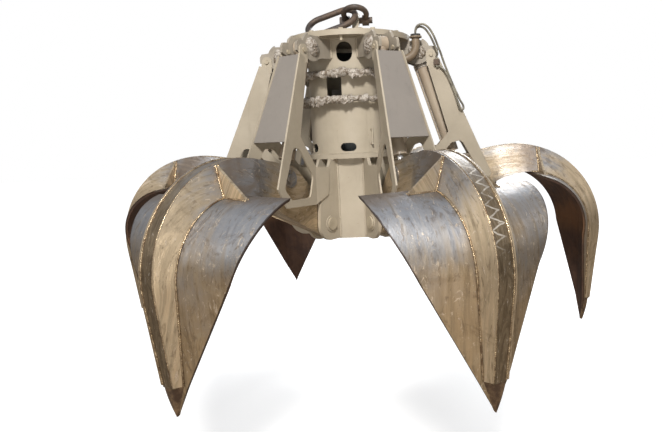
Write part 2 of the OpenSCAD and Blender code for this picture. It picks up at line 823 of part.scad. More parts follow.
// The shell's outer face starts on the belly line and folds inward beside the beam
tip_steps = 3;
tip_end_share = 0.985;
shell_line = concat(
    [for (i = [arm_steps : stations - 1]) belly_line[i]],
    [for (i = [1 : tip_steps]) mix(belly_end, tip, i / tip_steps * tip_end_share)]
);
shell_stations = len(shell_line);
tip_half = 3;
shell_tip_t = 9;

// Angle of the belly's outward normal at a shell station
function shell_angle(i) = i < curve_steps
    ? mix(belly_first_a, belly_last_a, (i + 1) / curve_steps) : belly_last_a;
function fold_at(i) = shell_fold * (i < curve_steps ? 1 - max(shell_angle(i), 0) / 90 : 1);
function shell_joint(i) = i < stations - arm_steps ? belly_halves[i + arm_steps]
    : mix(belly_end_half, tip_half, (i + 1 - stations + arm_steps) / tip_steps);
function shell_thick(i) = i < stations - arm_steps ? shell_t
    : mix(shell_t, shell_tip_t, (i + 1 - stations + arm_steps) / tip_steps);

// Inward offset of the shell's face at y across, for a face d inside the belly line
function sink(i, d, y) = d + max(y - shell_joint(i), 0) * tan(fold_at(i));
function shell_point(i, d, y) =
    let (p = shell_line[i] - polar(sink(i, d, abs(y)), shell_angle(i))) [p[0], y, p[1]];

// Half width at which a face reaches its sector's edge once the grab is closed
function edge_half(i, d) =
    let (m = -polar(1, shell_angle(i)), k = tan(sector / 2), f = tan(fold_at(i)))
    let (per = m[0] * cos(swing) + m[1] * sin(swing))
    let (flat = closed(shell_line[i])[0] + per * (d - shell_joint(i) * f))
    let (y = (k * flat - sector_gap) / (1 - k * per * f))
    max(y, i >= stations - arm_steps ? mix(belly_end_half, tip_half,
        (i + 1 - stations + arm_steps) / tip_steps) : belly_end_half);

function shell_ring(i) =
    let (a = edge_half(i, seat), b = edge_half(i, shell_thick(i)), j = shell_joint(i))
    let (c = (a + j) / 2, e = (b + j) / 2, o = seat, n = shell_thick(i))
    [
        shell_point(i, o, -a), shell_point(i, n, -b), shell_point(i, n, -e), shell_point(i, n, -j),
        shell_point(i, n, j), shell_point(i, n, e), shell_point(i, n, b), shell_point(i, o, a),
        shell_point(i, o, c), shell_point(i, o, j), shell_point(i, o, -j), shell_point(i, o, -c)
    ];

module tine_shell(k) {
    color(shell_steel) in_sector(k) loft([for (i = [0 : shell_stations - 1]) shell_ring(i)]);
}

// A triangular stiffener across the beam's side, standing on the shell
gusset_station = 1;
gusset_t = 16;
gusset_half = 320;
gusset_nose_share = 0.06;
module gusset() {
    i = gusset_station;
    s = i + arm_steps;
    along = [sin(shell_angle(i)), 0, -cos(shell_angle(i))];
    top = beam_point(s, beam_depth(s) - back_recess, beam_half(s, beam_depth(s) - back_recess) - cut);
    foot = beam_point(s, cut, beam_half(s, cut) - cut);
    out = shell_point(i, 0, gusset_half);
    near = shell_point(i, 0, shell_joint(i));
    loft([for (d = [-gusset_t / 2, gusset_t / 2]) [top + along * d, foot + along * d, near + along * d,
        out + along * d, mix(out, top, gusset_nose_share) + along * d]]);
}

// The solid point behind the shell below the beam's end
tooth_depth = 44;
tooth_tip_depth = 12;
tooth_back_share = 0.62;
tooth_stations = [0, 0.34, 0.68, 1];
function tooth_ring(t) =
    let (p = mix(belly_end, tip, t), n = polar(1, belly_last_a))
    let (j = mix(belly_end_half - cut, tip_half, t), d = mix(tooth_depth, tooth_tip_depth, t * t))
    let (b = j * tooth_back_share, q = p + n * d)
    [[p[0], -j, p[1]], [p[0], j, p[1]], [q[0], b, max(q[1], 0)], [q[0], -b, max(q[1], 0)]];

module tine_tip(k) {
    color(dark_steel) in_sector(k) loft([for (t = tooth_stations) tooth_ring(mix(0, 1, t))]);
}

/* lifting gear */
lift_x = 68;
lift_hole = [0, flange_top_z + lift_hole_rise];
lug_head_r = 56;
lug_foot_half = 150;
rib_reach = 240;
rib_t = 20;
shackle_leg_half = 69.5;
shackle_bow_r = 87;
shackle_leg = 30;
shackle_eye_r = 40;
shackle_eye_t = 50;
shackle_eye_mid = 73.5;
shackle_lean = 65;
shackle_bow_a = acos(shackle_leg_half / shackle_bow_r);
shackle_bow_rise = shackle_leg + shackle_bow_r * sin(shackle_bow_a);
// Distance from the shackle's pin to the long link's bar that hangs in its bow
link_from_pin = 91;
link_tilt = 16.9;
link_roll = 45;

module lifting_lug() {
    color(frame_paint) translate([lift_x, 0, 0]) difference() {
        union() {
            rotate([0, 0, 90]) upright(-lift_lug_t / 2, lift_lug_t / 2) {
                polygon([[-lug_foot_half, flange_top_z], [lug_foot_half, flange_top_z],
                    [lug_head_r, lift_hole[1]], [-lug_head_r, lift_hole[1]]]);
                translate(lift_hole) circle(r = lug_head_r);
            }
            upright(-rib_t / 2, rib_t / 2) polygon([[lift_lug_t / 2 - cut, flange_top_z],
                [rib_reach, flange_top_z],
                [lift_lug_t / 2 - cut, lift_hole[1] - shackle_eye_r - 2 * cut]]);
        }
        rotate([0, 0, 90]) crossbar(lift_hole, shackle_pin_r + seat, -lift_lug_t, lift_lug_t);
    }
}

// Places a shape drawn round the pin, with its bow upward, at the shackle's lean
module on_shackle() {
    translate([lift_x, 0, lift_hole[1]]) rotate([shackle_lean, 0, 0]) children();
}

module shackle_bow() {
    color(dark_steel) on_shackle() difference() {
        union() {
            for (s = [-1, 1]) {
                translate([s * shackle_leg_half, 0, 0]) cylinder(r = shackle_bar_r, h = shackle_leg + cut);
                translate([s * shackle_eye_mid - shackle_eye_t / 2, 0, 0]) rotate([0, 90, 0])
                    cylinder(r = shackle_eye_r, h = shackle_eye_t);
            }
            translate([0, 0, shackle_bow_rise]) rotate([90, 0, 0]) rotate([0, 0, -shackle_bow_a])
                rotate_extrude(angle = 180 + 2 * shackle_bow_a)
                    translate([shackle_bow_r, 0]) circle(r = shackle_bar_r);
        }
        rotate([0, 90, 0]) translate([0, 0, -2 * shackle_bow_r])
            cylinder(r = shackle_pin_r + seat, h = 4 * shackle_bow_r);
    }
}

shackle_head_r = 36;
shackle_head_h = 30;

module shackle_pin() {
    half = shackle_eye_mid + shackle_eye_t / 2 + seat;
    color(dark_steel) translate([lift_x - half, 0, lift_hole[1]]) rotate([0, 90, 0]) {
        down(shackle_head_h) cylinder(r = shackle_head_r, h = shackle_head_h, $fn = 6);
        down(cut) cylinder(r = shackle_pin_r, h = 2 * half + shackle_head_h);
    }
}

// The long link hangs in the bow by its right end and lies down to the left on the flange
link_turn_r = link_w / 2 - link_bar_r;
link_straight = link_len - link_w;
module master_link() {
    color(dark_steel) translate([lift_x, 0, lift_hole[1]])
        translate([0, -link_from_pin * sin(shackle_lean), link_from_pin * cos(shackle_lean)])
        rotate([0, -link_tilt, 0]) rotate([link_roll, 0, 0]) translate([-link_turn_r, 0, 0]) {
            rotate([0, 0, -90]) rotate_extrude(angle = 180)
                translate([link_turn_r, 0]) circle(r = link_bar_r);
            translate([-link_straight, 0, 0]) rotate([0, 0, 90]) rotate_extrude(angle = 180)
                translate([link_turn_r, 0]) circle(r = link_bar_r);
            for (s = [-1, 1]) translate([-link_straight, s * link_turn_r, 0]) rotate([0, 90, 0])
                cylinder(r = link_bar_r, h = link_straight);
        }
}

/* pipes and cables */
main_high_drop = 293;
main_low_drop = 481;
main_high_z = flange_top_z - main_high_drop;
main_low_z = flange_top_z - main_low_drop;
main_wall = 4;
stand_r = 10;

module ring_mains() {
    color(foil) for (z = [main_high_z, main_low_z]) translate([0, 0, z]) {
        rotate_extrude() translate([main_bend_r, 0]) circle(r = main_pipe_r);
        for (k = [0 : tines - 1]) rotate([0, 0, sector * k + sector / 4])
            translate([column_r + seat * 2, 0, 0]) rotate([0, 90, 0])
                cylinder(r = stand_r, h = main_bend_r - column_r - main_pipe_r / 2);
    }
}

elbow_wall = 4;
elbow_rim_r = 48;
elbow_rim_t = 10;
elbow_top_drop = 22;
elbow_top_z = flange_top_z - elbow_top_drop;
elbow_bend_x = elbow_x - elbow_bend_r;

module elbow_path(r, extra) {
    translate([0, elbow_y, elbow_z]) {
        translate([column_r - 2 * column_wall - extra, 0, 0]) rotate([0, 90, 0])
            cylinder(r = r, h = elbow_bend_x - column_r + 2 * column_wall + extra);
        translate([elbow_bend_x, 0, elbow_bend_r]) rotate([90, 0, 0]) rotate([0, 0, -90])
            rotate_extrude(angle = 90) translate([elbow_bend_r, 0]) circle(r = r);
        translate([elbow_x, 0, elbow_bend_r])
            cylinder(r = r, h = elbow_top_z - elbow_z - elbow_bend_r + extra);
    }
}

module cable_elbow() {
    color(frame_paint) difference() {
        union() {
            elbow_path(elbow_r, 0);
            translate([elbow_x, elbow_y, elbow_top_z - elbow_rim_t])
                cylinder(r = elbow_rim_r, h = elbow_rim_t);
        }
        elbow_path(elbow_r - elbow_wall, cut);
    }
}

grommet_h = 16;
grommet_r = 38;

module cable_grommet() {
    color(rubber_black) translate([elbow_x, elbow_y, elbow_top_z]) cylinder(r = grommet_r, h = grommet_h);
}

// Points of the two cables' routes, counted from the middle of the grommet's top face
cable_1_steps = [
    [0, -11, 0], [0, -11, 20], [5, -11, 42], [18, -10, 60], [40, -9, 70],
    [66, -8, 68], [94, -7, 50], [116, -6, 22], [136, -5, -14], [154, -3, -58],
    [172, 1, -106], [190, 8, -154], [206, 14, -204], [224, 19, -254], [244, 21, -306],
    [266, 22, -362], [287, 20, -414], [308, 16, -464], [326, 9, -506], [344, 0, -538],
    [350, -7, -562], [346, -15, -576], [334, -18, -580], [322, -18, -570], [314, -17, -550],
    [306, -15, -518], [294, -12, -476], [277, -8, -424], [255, -3, -366], [230, 3, -308],
    [206, 9, -270], [186, 16, -250], [176, 21, -238]
];
cable_2_steps = [
    [0, 11, 0], [0, 11, 20], [4, 12, 36], [14, 13, 50], [32, 15, 57], [54, 17, 53],
    [76, 18, 38], [96, 18, 12], [114, 18, -18], [130, 18, -52], [145, 19, -88], [156, 21, -120],
    [163, 22, -146]
];
// The clamp sits on the outer face of a guard plate near its ear
clamp_in = 112;
clamp_w = 44;
clamp_h = 40;
clamp_d = 28;
clamp_drop = 55;
clamp_z = guard_front_z - clamp_drop;

// Moves a shape drawn on the outer face of the guard plate nearest the cables
module on_guard_face() {
    translate([fold_r, -fold_half, 0]) rotate([0, 0, -guard_splay])
        translate([0, -guard_t - seat, 0]) children();
}
function guard_face(x, out, z) = [
    fold_r + x * cos(guard_splay) - (guard_t + seat + out) * sin(guard_splay),
    -fold_half - x * sin(guard_splay) - (guard_t + seat + out) * cos(guard_splay), z];

module cable_clamp() {
    color(dark_steel) on_guard_face() translate([clamp_in - clamp_w / 2, -clamp_d, clamp_z])
        cube([clamp_w, clamp_d, clamp_h]);
}

// Rings of a round cable swept along its route
cable_sides = 8;
cable_lean = [0.1, 1, 0.2];
// Straight run of each cable before its clamp
cable_run_in = 18;
function unit(v) = v / norm(v);
function run_dir(route, i) = unit(
    (i < len(route) - 1 ? unit(route[i + 1] - route[i]) : [0, 0, 0])
    + (i > 0 ? unit(route[i] - route[i - 1]) : [0, 0, 0]));
function cable_ring(route, i) =
    let (t = run_dir(route, i), s = unit(cross(t, cable_lean)), n = cross(s, t))
    [for (a = [0 : cable_sides - 1]) let (q = -360 * a / cable_sides)
        route[i] + s * cable_r * cos(q) + n * cable_r * sin(q)];
module cable(steps, last) {
    start = [elbow_x, elbow_y, elbow_top_z + grommet_h];
    above = (start + steps[len(steps) - 1] - last)[2] > 0;
    run_in = last + [0, 0, above ? cable_run_in : -cable_run_in];
    route = concat([for (p = steps) start + p], [run_in, last]);
    loft([for (i = [0 : len(route) - 1]) cable_ring(route, i)]);
}

module supply_cable_1() {
    color(sheath_grey) cable(cable_1_steps, guard_face(clamp_in, clamp_d / 2, clamp_z));
}

module supply_cable_2() {
    color(sheath_grey) cable(cable_2_steps, guard_face(clamp_in, clamp_d / 2, clamp_z + clamp_h));
}

/* inner pieces */
motor_grey = [0.32, 0.38, 0.42];
pump_grey = [0.42, 0.43, 0.45];
block_brown = [0.40, 0.36, 0.32];
motor_r = 190;
motor_foot_r = 230;
motor_foot_t = 24;
motor_h = 360;
motor_fins = 24;
fin_h = 10;
fin_t = 6;
coupling_hole_r = 80;
pump_r = 110;
pump_h = 210;
pump_flange_r = 140;
pump_flange_t = 20;
tank_r = 262;
tank_wall = 6;
tank_h = 260;
valve_w = 260;
valve_d = 300;
valve_h = 130;
valve_plug_r = 22;
valve_plug_len = 26;

module electric_motor() {
    color(motor_grey) translate([0, 0, ring_plate_top_z + seat]) {
        cylinder(r = motor_foot_r, h = motor_foot_t);
        cylinder(r = motor_r, h = motor_h);
        for (k = [0 : motor_fins - 1]) rotate([0, 0, 360 * k / motor_fins])
            translate([motor_r - cut, -fin_t / 2, motor_foot_t])
                cube([fin_h + cut, fin_t, motor_h - 2 * motor_foot_t]);
    }
}

module hydraulic_pump() {
    color(pump_grey) translate([0, 0, ring_plate_z - seat]) {
        down(pump_flange_t) cylinder(r = pump_flange_r, h = pump_flange_t);
        down(pump_h) cylinder(r = pump_r, h = pump_h);
        cylinder(r = coupling_hole_r - 2 * cut, h = ring_plate_t / 2);
    }
}

module valve_block() {
    z = ring_plate_top_z + motor_h + 2 * seat;
    color(block_brown) {
        translate([-valve_w / 2, -valve_d / 2, z]) cube([valve_w, valve_d, valve_h]);
        for (x = [-valve_w / 3, 0, valve_w / 3])
            translate([x, -valve_d / 2 + cut, z + valve_h / 2]) rotate([90, 0, 0])
                cylinder(r = valve_plug_r, h = valve_plug_len + cut);
    }
}

module oil_tank() {
    color(frame_paint) translate([0, 0, base_z + base_t + seat]) difference() {
        cylinder(r = tank_r, h = tank_h);
        translate([0, 0, tank_wall]) cylinder(r = tank_r - tank_wall, h = tank_h);
    }
}

top_flange();
flange_bolts();
lifting_lug();
shackle_bow();
shackle_pin();
master_link();
column_tube();
upper_lugs();
ring_plate();
lower_housing();
lower_lugs();
base_plate();
door_plate();
ring_mains();
cable_elbow();
cable_grommet();
supply_cable_1();
supply_cable_2();
cable_clamp();
guard_plates();
guard_covers();
guard_bolts();
hinge_pins();
cylinder_pins();
electric_motor();
hydraulic_pump();
valve_block();
oil_tank();
tine_beam(1);  // tine_beam_1
tine_beam(2);  // tine_beam_2
tine_beam(3);  // tine_beam_3
tine_beam(4);  // tine_beam_4
tine_beam(5);  // tine_beam_5
tine_beam(6);  // tine_beam_6
tine_shell(1);  // tine_shell_1
tine_shell(2);  // tine_shell_2
tine_shell(3);  // tine_shell_3
tine_shell(4);  // tine_shell_4
tine_shell(5);  // tine_shell_5
tine_shell(6);  // tine_shell_6
tine_tip(1);  // tine_tip_1
tine_tip(2);  // tine_tip_2
tine_tip(3);  // tine_tip_3
tine_tip(4);  // tine_tip_4
tine_tip(5);  // tine_tip_5
tine_tip(6);  // tine_tip_6
cylinder_barrel(1);  // cylinder_barrel_1
cylinder_barrel(2);  // cylinder_barrel_2
cylinder_barrel(3);  // cylinder_barrel_3
cylinder_barrel(4);  // cylinder_barrel_4
cylinder_barrel(5);  // cylinder_barrel_5
cylinder_barrel(6);  // cylinder_barrel_6
cylinder_rod(1);  // cylinder_rod_1
cylinder_rod(2);  // cylinder_rod_2
cylinder_rod(3);  // cylinder_rod_3
cylinder_rod(4);  // cylinder_rod_4
cylinder_rod(5);  // cylinder_rod_5
cylinder_rod(6);  // cylinder_rod_6
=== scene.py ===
import math
import bmesh
import bpy
import numpy as np
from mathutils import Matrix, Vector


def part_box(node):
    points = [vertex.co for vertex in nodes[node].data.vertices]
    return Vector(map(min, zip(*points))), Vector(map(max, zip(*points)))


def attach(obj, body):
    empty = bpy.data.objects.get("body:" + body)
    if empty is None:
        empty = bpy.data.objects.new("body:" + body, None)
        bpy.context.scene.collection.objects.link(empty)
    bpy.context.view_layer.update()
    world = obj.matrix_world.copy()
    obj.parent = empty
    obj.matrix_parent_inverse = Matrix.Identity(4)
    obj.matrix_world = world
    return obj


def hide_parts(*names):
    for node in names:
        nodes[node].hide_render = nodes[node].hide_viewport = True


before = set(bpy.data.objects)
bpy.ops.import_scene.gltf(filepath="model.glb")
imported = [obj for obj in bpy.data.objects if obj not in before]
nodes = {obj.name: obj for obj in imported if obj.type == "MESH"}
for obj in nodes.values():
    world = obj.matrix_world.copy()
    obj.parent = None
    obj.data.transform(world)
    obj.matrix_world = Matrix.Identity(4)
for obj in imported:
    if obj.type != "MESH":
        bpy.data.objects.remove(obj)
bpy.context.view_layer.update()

# Studio. A pale floor below the reach of the closed tines, which the camera sees white, a white
# surround, and five soft lamps: a high front key, a low front fill, one behind and one to each
# side. Reflections see a bright sky over brown ground, as out of doors, and bare plate shows both.
FLOOR_HALF, FLOOR_Z = 40.0, -0.86
FLOOR_TO_LIGHT, FLOOR_TO_CAMERA = (0.30, 0.25, 0.20, 1), (0.62, 0.62, 0.62, 1)
GLOW_FROM, GLOW_TO, GLOW_LOW = 1.5, 6.0, 0.60
SKY_LOW, SKY_MID, SKY_HIGH = (0.16, 0.12, 0.09, 1), (0.34, 0.31, 0.28, 1), (0.95, 1.0, 1.1, 1)
SKY_MID_AT = 0.52
SKY_ON_DULL, SKY_ON_GLOSSY = 0.28, 0.70
LAMP_AIM = (0, 0, 1.2)
LAMPS = (  # name, place, size, watts, colour
    ("key_lamp", (0.5, -7.5, 7.0), 1.4, 940.0, (1.0, 0.975, 0.94)),
    ("low_lamp", (0.3, -7.5, 0.5), 3.0, 135.0, (1.0, 0.96, 0.90)),
    ("fill_lamp", (-6.5, -4.0, 3.4), 3.0, 45.0, (1.0, 0.97, 0.93)),
    ("rim_lamp", (2.5, 6.0, 5.5), 4.0, 420.0, (0.94, 0.97, 1.0)),
    ("side_lamp", (6.5, -1.2, 3.4), 3.0, 30.0, (1.0, 0.97, 0.94)),
)


def add_node(tree, kind, **values):
    """A new node of a tree, its inputs set by position from the values in_0, in_1."""
    node = tree.nodes.new(kind)
    for key, value in values.items():
        if key.startswith("in_"):
            node.inputs[int(key[3:])].default_value = value
        else:
            setattr(node, key, value)
    return node


world = bpy.data.worlds.new("studio_white")
bpy.context.scene.world = world
bpy.context.scene.view_settings.view_transform = "Standard"
world.use_nodes = True
sky = world.node_tree
dim = sky.nodes["Background"]
height = add_node(sky, "ShaderNodeSeparateXYZ")
sky.links.new(add_node(sky, "ShaderNodeTexCoord").outputs["Generated"], height.inputs[0])
ramp = add_node(sky, "ShaderNodeValToRGB")
ramp.color_ramp.elements[0].color = SKY_LOW
ramp.color_ramp.elements[1].color = SKY_HIGH
ramp.color_ramp.elements.new(SKY_MID_AT).color = SKY_MID
half = add_node(sky, "ShaderNodeMapRange", in_1=-1.0, in_2=1.0)
sky.links.new(height.outputs["Z"], half.inputs[0])
sky.links.new(half.outputs[0], ramp.inputs[0])
sky.links.new(ramp.outputs[0], dim.inputs["Color"])
rays = add_node(sky, "ShaderNodeLightPath")
power = add_node(sky, "ShaderNodeMapRange", in_1=0.0, in_2=1.0, in_3=SKY_ON_DULL,
                 in_4=SKY_ON_GLOSSY)
sky.links.new(rays.outputs["Is Glossy Ray"], power.inputs[0])
sky.links.new(power.outputs[0], dim.inputs["Strength"])
white = add_node(sky, "ShaderNodeBackground", in_0=(1, 1, 1, 1), in_1=1.0)
choose = add_node(sky, "ShaderNodeMixShader")
sky.links.new(rays.outputs["Is Camera Ray"], choose.inputs[0])
sky.links.new(dim.outputs[0], choose.inputs[1])
sky.links.new(white.outputs[0], choose.inputs[2])
sky.links.new(choose.outputs[0], sky.nodes["World Output"].inputs[0])

bpy.ops.mesh.primitive_plane_add(size=2 * FLOOR_HALF, location=(0, 0, FLOOR_Z))
floor = bpy.context.object
floor.name = "studio_floor"
floor_paint = bpy.data.materials.new("studio_floor")
floor_paint.use_nodes = True
tree = floor_paint.node_tree
ground = tree.nodes["Principled BSDF"]
ground.inputs["Roughness"].default_value = 0.95
ground.inputs["Emission Color"].default_value = (1, 1, 1, 1)
tone = add_node(tree, "ShaderNodeMix", data_type="RGBA")
tone.inputs["A"].default_value = FLOOR_TO_LIGHT
tone.inputs["B"].default_value = FLOOR_TO_CAMERA
away = add_node(tree, "ShaderNodeVectorMath", operation="LENGTH")
tree.links.new(add_node(tree, "ShaderNodeTexCoord").outputs["Object"], away.inputs[0])
glow = add_node(tree, "ShaderNodeMapRange", in_1=GLOW_FROM, in_2=GLOW_TO, in_3=GLOW_LOW, in_4=1.0)
tree.links.new(away.outputs["Value"], glow.inputs[0])
seen = add_node(tree, "ShaderNodeLightPath").outputs["Is Camera Ray"]
lit = add_node(tree, "ShaderNodeMath", operation="MULTIPLY")
tree.links.new(seen, lit.inputs[0])
tree.links.new(glow.outputs[0], lit.inputs[1])
tree.links.new(seen, tone.inputs["Factor"])
tree.links.new(tone.outputs["Result"], ground.inputs["Base Color"])
tree.links.new(lit.outputs[0], ground.inputs["Emission Strength"])
floor.data.materials.append(floor_paint)

for name, where, size, energy, tint in LAMPS:
    data = bpy.data.lights.new(name, "AREA")
    data.energy, data.size, data.color = energy, size, tint
    lamp = bpy.data.objects.new(name, data)
    bpy.context.scene.collection.objects.link(lamp)
    lamp.location = where
    aim = Vector(LAMP_AIM) - lamp.location
    lamp.rotation_euler = aim.to_track_quat("-Z", "Y").to_euler()

# Camera. It stands at eye height, a few degrees to the right of the front, and is turned a little
# about its own axis, so that the flange and the tips come to where the picture has them.
LENS_MM, SENSOR_MM, SHIFT = 30.586, 36.0, (-0.0902, -0.0054)
EYE_AT, EYE_TURN = (0.5386, -4.565, 1.5358), (82.533, 2.319, 2.919)
eye = bpy.data.cameras.new("photo_camera")
eye.lens, eye.sensor_width = LENS_MM, SENSOR_MM
eye.shift_x, eye.shift_y = SHIFT
camera = bpy.data.objects.new("photo_camera", eye)
bpy.context.scene.collection.objects.link(camera)
camera.location = EYE_AT
camera.rotation_euler = [math.radians(a) for a in EYE_TURN]
bpy.context.scene.camera = camera

# Supply cables. Two rubber-sheathed control cables that leave the elbow's grommet, hang in an
# arc over the guard and end in a clamp on its side plate; each is a smooth tube along its route.
# Steps are in millimetres from the grommet's top.
CABLE_R = 0.008
GROMMET_TOP = (0.528, -0.140, 2.314)
CLAMP_RUN_IN = 0.018
LONG_STEPS = [
    (0, -11, 0), (0, -11, 20), (5, -11, 42), (18, -10, 60), (40, -9, 70),
    (66, -8, 68), (94, -7, 50), (116, -6, 22), (136, -5, -14), (154, -3, -58),
    (172, 1, -106), (190, 8, -154), (206, 14, -204), (224, 19, -254), (244, 21, -306),
    (266, 22, -362), (287, 20, -414), (308, 16, -464), (326, 9, -506), (344, 0, -538),
    (350, -7, -562), (346, -15, -576), (334, -18, -580), (322, -18, -570), (314, -17, -550),
    (306, -15, -518), (294, -12, -476), (277, -8, -424), (255, -3, -366), (230, 3, -308),
    (206, 9, -270), (186, 16, -250), (176, 21, -238),
]
SHORT_STEPS = [
    (0, 11, 0), (0, 11, 20), (4, 12, 36), (14, 13, 50), (32, 15, 57), (54, 17, 53),
    (76, 18, 38), (96, 18, 12), (114, 18, -18), (130, 18, -52), (145, 19, -88), (156, 21, -120),
    (163, 22, -146),
]


def smooth_path(points, steps):
    """Catmull-Rom curve through the points: on each stretch from b to c, with neighbours a and d,
    b + t(c-a)/2 + t^2(2a-5b+4c-d)/2 + t^3(3b-a-3c+d)/2."""
    p = np.asarray(points, float)
    p = np.vstack([2 * p[:1] - p[1:2], p, 2 * p[-1:] - p[-2:-1]])
    t = np.linspace(0, 1, steps, endpoint=False)[None, :, None]
    a, b, c, d = (p[i : len(p) - 3 + i, None, :] for i in range(4))
    run = b + t * (c - a) / 2 + t**2 * (2 * a - 5 * b + 4 * c - d) / 2
    run = run + t**3 * (3 * b - a - 3 * c + d) / 2
    return np.vstack([run.reshape(-1, p.shape[1]), p[-2:-1]])


def frames_along(path, lean=(0.1, 1.0, 0.2)):
    """Unit side and up vectors along a path: side = tangent x lean, up = side x tangent."""
    t = np.gradient(path, axis=0)
    t /= np.linalg.norm(t, axis=1, keepdims=True)
    s = np.cross(t, np.asarray(lean, float))
    s /= np.linalg.norm(s, axis=1, keepdims=True)
    return s, np.cross(s, t)


def tube_points(path, radius, sides, lean=(0.1, 1.0, 0.2)):
    """Grid of a tube: path + radius (side cos a + up sin a), one row a ring."""
    a = np.linspace(0, 2 * np.pi, sides, endpoint=False)
    s, n = frames_along(path, lean)
    r = np.broadcast_to(np.asarray(radius, float).reshape(-1, 1), (len(path), sides))
    cs, sn = (r * np.cos(a))[..., None], (r * np.sin(a))[..., None]
    return path[:, None, :] + cs * s[:, None, :] + sn * n[:, None, :]


def surface(name, grid, ring=False, uv=None, marks=None, sharp=40.0):
    """A closed mesh over one grid or a list of grids of points, rows by columns: the last column
    joins the first, and the end rows are capped, or joined to each other where ring is set."""
    grids = grid if isinstance(grid, list) else [grid]
    verts, faces, caps, at = [], [], [], 0
    for g in grids:
        m, n = g.shape[:2]
        ids = at + np.arange(m * n).reshape(m, n)
        down = np.roll(ids, -1, 0) if ring else ids[1:]
        up = ids if ring else ids[:-1]
        quad = [up, np.roll(up, -1, 1), np.roll(down, -1, 1), down]
        faces.append(np.stack([q.ravel() for q in quad], 1))
        if not ring:
            caps += [ids[0][::-1].tolist(), ids[-1].tolist()]
        verts.append(g.reshape(-1, 3))
        at += m * n
    mesh = bpy.data.meshes.new(name)
    mesh.from_pydata(np.vstack(verts).tolist(), [], np.vstack(faces).tolist() + caps)
    mesh.polygons.foreach_set("use_smooth", np.ones(len(mesh.polygons), bool))
    for key, values in (marks or {}).items():
        layer = mesh.attributes.new(key, "FLOAT", "POINT")
        flat = np.concatenate([np.ravel(v) for v in values])
        layer.data.foreach_set("value", flat.astype(np.float32))
    if uv is not None:
        flat = np.vstack([np.asarray(u).reshape(-1, 2) for u in uv])
        corner = np.zeros(len(mesh.loops), np.int32)
        mesh.loops.foreach_get("vertex_index", corner)
        layer = mesh.uv_layers.new(name="Plate")
        layer.data.foreach_set("uv", flat[corner].ravel().astype(np.float32))
    mesh.validate()
    mesh.update()
    mesh.set_sharp_from_angle(angle=math.radians(sharp))
    piece = bpy.data.objects.new(name, mesh)
    bpy.context.scene.collection.objects.link(piece)
    return piece


def outward(piece):
    """Turns all faces of a closed piece outwards."""
    work = bmesh.new()
    work.from_mesh(piece.data)
    bmesh.ops.recalc_face_normals(work, faces=work.faces)
    work.to_mesh(piece.data)
    work.free()
    return piece


class Finish:
    """A Principled material and the few node patterns that the finishes here are mixed from."""

    def __init__(self, name, color, rough, metal=0.0):
        self.material = bpy.data.materials.new(name)
        self.material.use_nodes = True
        self.tree = self.material.node_tree
        self.shader = self.tree.nodes["Principled BSDF"]
        self.shader.inputs["Base Color"].default_value = (*color, 1)
        self.shader.inputs["Roughness"].default_value = rough
        self.shader.inputs["Metallic"].default_value = metal
        self.place = self.tree.nodes.new("ShaderNodeTexCoord").outputs["Object"]

    def put(self, socket, value):
        """Links an output, or sets a number or colour."""
        if isinstance(value, bpy.types.NodeSocket):
            self.tree.links.new(value, socket)
        elif isinstance(value, tuple):
            socket.default_value = (*value, 1) if len(value) == 3 else value
        else:
            socket.default_value = value

    def stretched(self, scale, source=None):
        """The place, scaled along its three axes."""
        node = self.tree.nodes.new("ShaderNodeMapping")
        self.tree.links.new(source or self.place, node.inputs["Vector"])
        node.inputs["Scale"].default_value = scale
        return node.outputs[0]

    def plate(self):
        """The piece's own UV map: metres along the plate and across it."""
        return add_node(self.tree, "ShaderNodeUVMap", uv_map="Plate").outputs[0]

    def mark(self, key):
        """A number stored on the piece's points."""
        return add_node(self.tree, "ShaderNodeAttribute", attribute_name=key).outputs["Fac"]

    def noise(self, scale, detail=4.0, rough=0.55, source=None, twist=0.0):
        """Fractal noise from 0 to 1 over the place or another source."""
        node = self.tree.nodes.new("ShaderNodeTexNoise")
        self.tree.links.new(source or self.place, node.inputs["Vector"])
        node.inputs["Scale"].default_value = scale
        node.inputs["Detail"].default_value = detail
        node.inputs["Roughness"].default_value = rough
        node.inputs["Distortion"].default_value = twist
        return node.outputs["Fac"]

    def ramp(self, value, low, high, out_low=0.0, out_high=1.0):
        """S curve from low..high to out_low..out_high, clamped."""
        node = add_node(self.tree, "ShaderNodeMapRange", interpolation_type="SMOOTHSTEP",
                        in_1=low, in_2=high, in_3=out_low, in_4=out_high)
        self.put(node.inputs[0], value)
        return node.outputs[0]

    def sum(self, a, b, how="ADD"):
        """a and b joined by one step of arithmetic, a sum unless how names another."""
        node = add_node(self.tree, "ShaderNodeMath", operation=how)
        self.put(node.inputs[0], a)
        self.put(node.inputs[1], b)
        return node.outputs[0]

    def blend(self, share, a, b):
        """Colour a (1 - share) + b share."""
        node = add_node(self.tree, "ShaderNodeMix", data_type="RGBA")
        self.put(node.inputs["Factor"], share)
        self.put(node.inputs["A"], a)
        self.put(node.inputs["B"], b)
        return node.outputs["Result"]

    def height(self, value, distance, strength=1.0):
        """A bump as high as distance where value is 1, on top of the bumps already there."""
        node = self.tree.nodes.new("ShaderNodeBump")
        node.inputs["Distance"].default_value = distance
        node.inputs["Strength"].default_value = strength
        self.tree.links.new(value, node.inputs["Height"])
        last = self.shader.inputs["Normal"]
        if last.is_linked:
            self.tree.links.new(last.links[0].from_socket, node.inputs["Normal"])
        self.tree.links.new(node.outputs[0], last)

    def color(self, value):
        """Sets the base colour."""
        self.put(self.shader.inputs["Base Color"], value)

    def gloss(self, value):
        """Sets the roughness."""
        self.put(self.shader.inputs["Roughness"], value)

    def metal(self, value):
        """Sets how metallic it is."""
        self.put(self.shader.inputs["Metallic"], value)


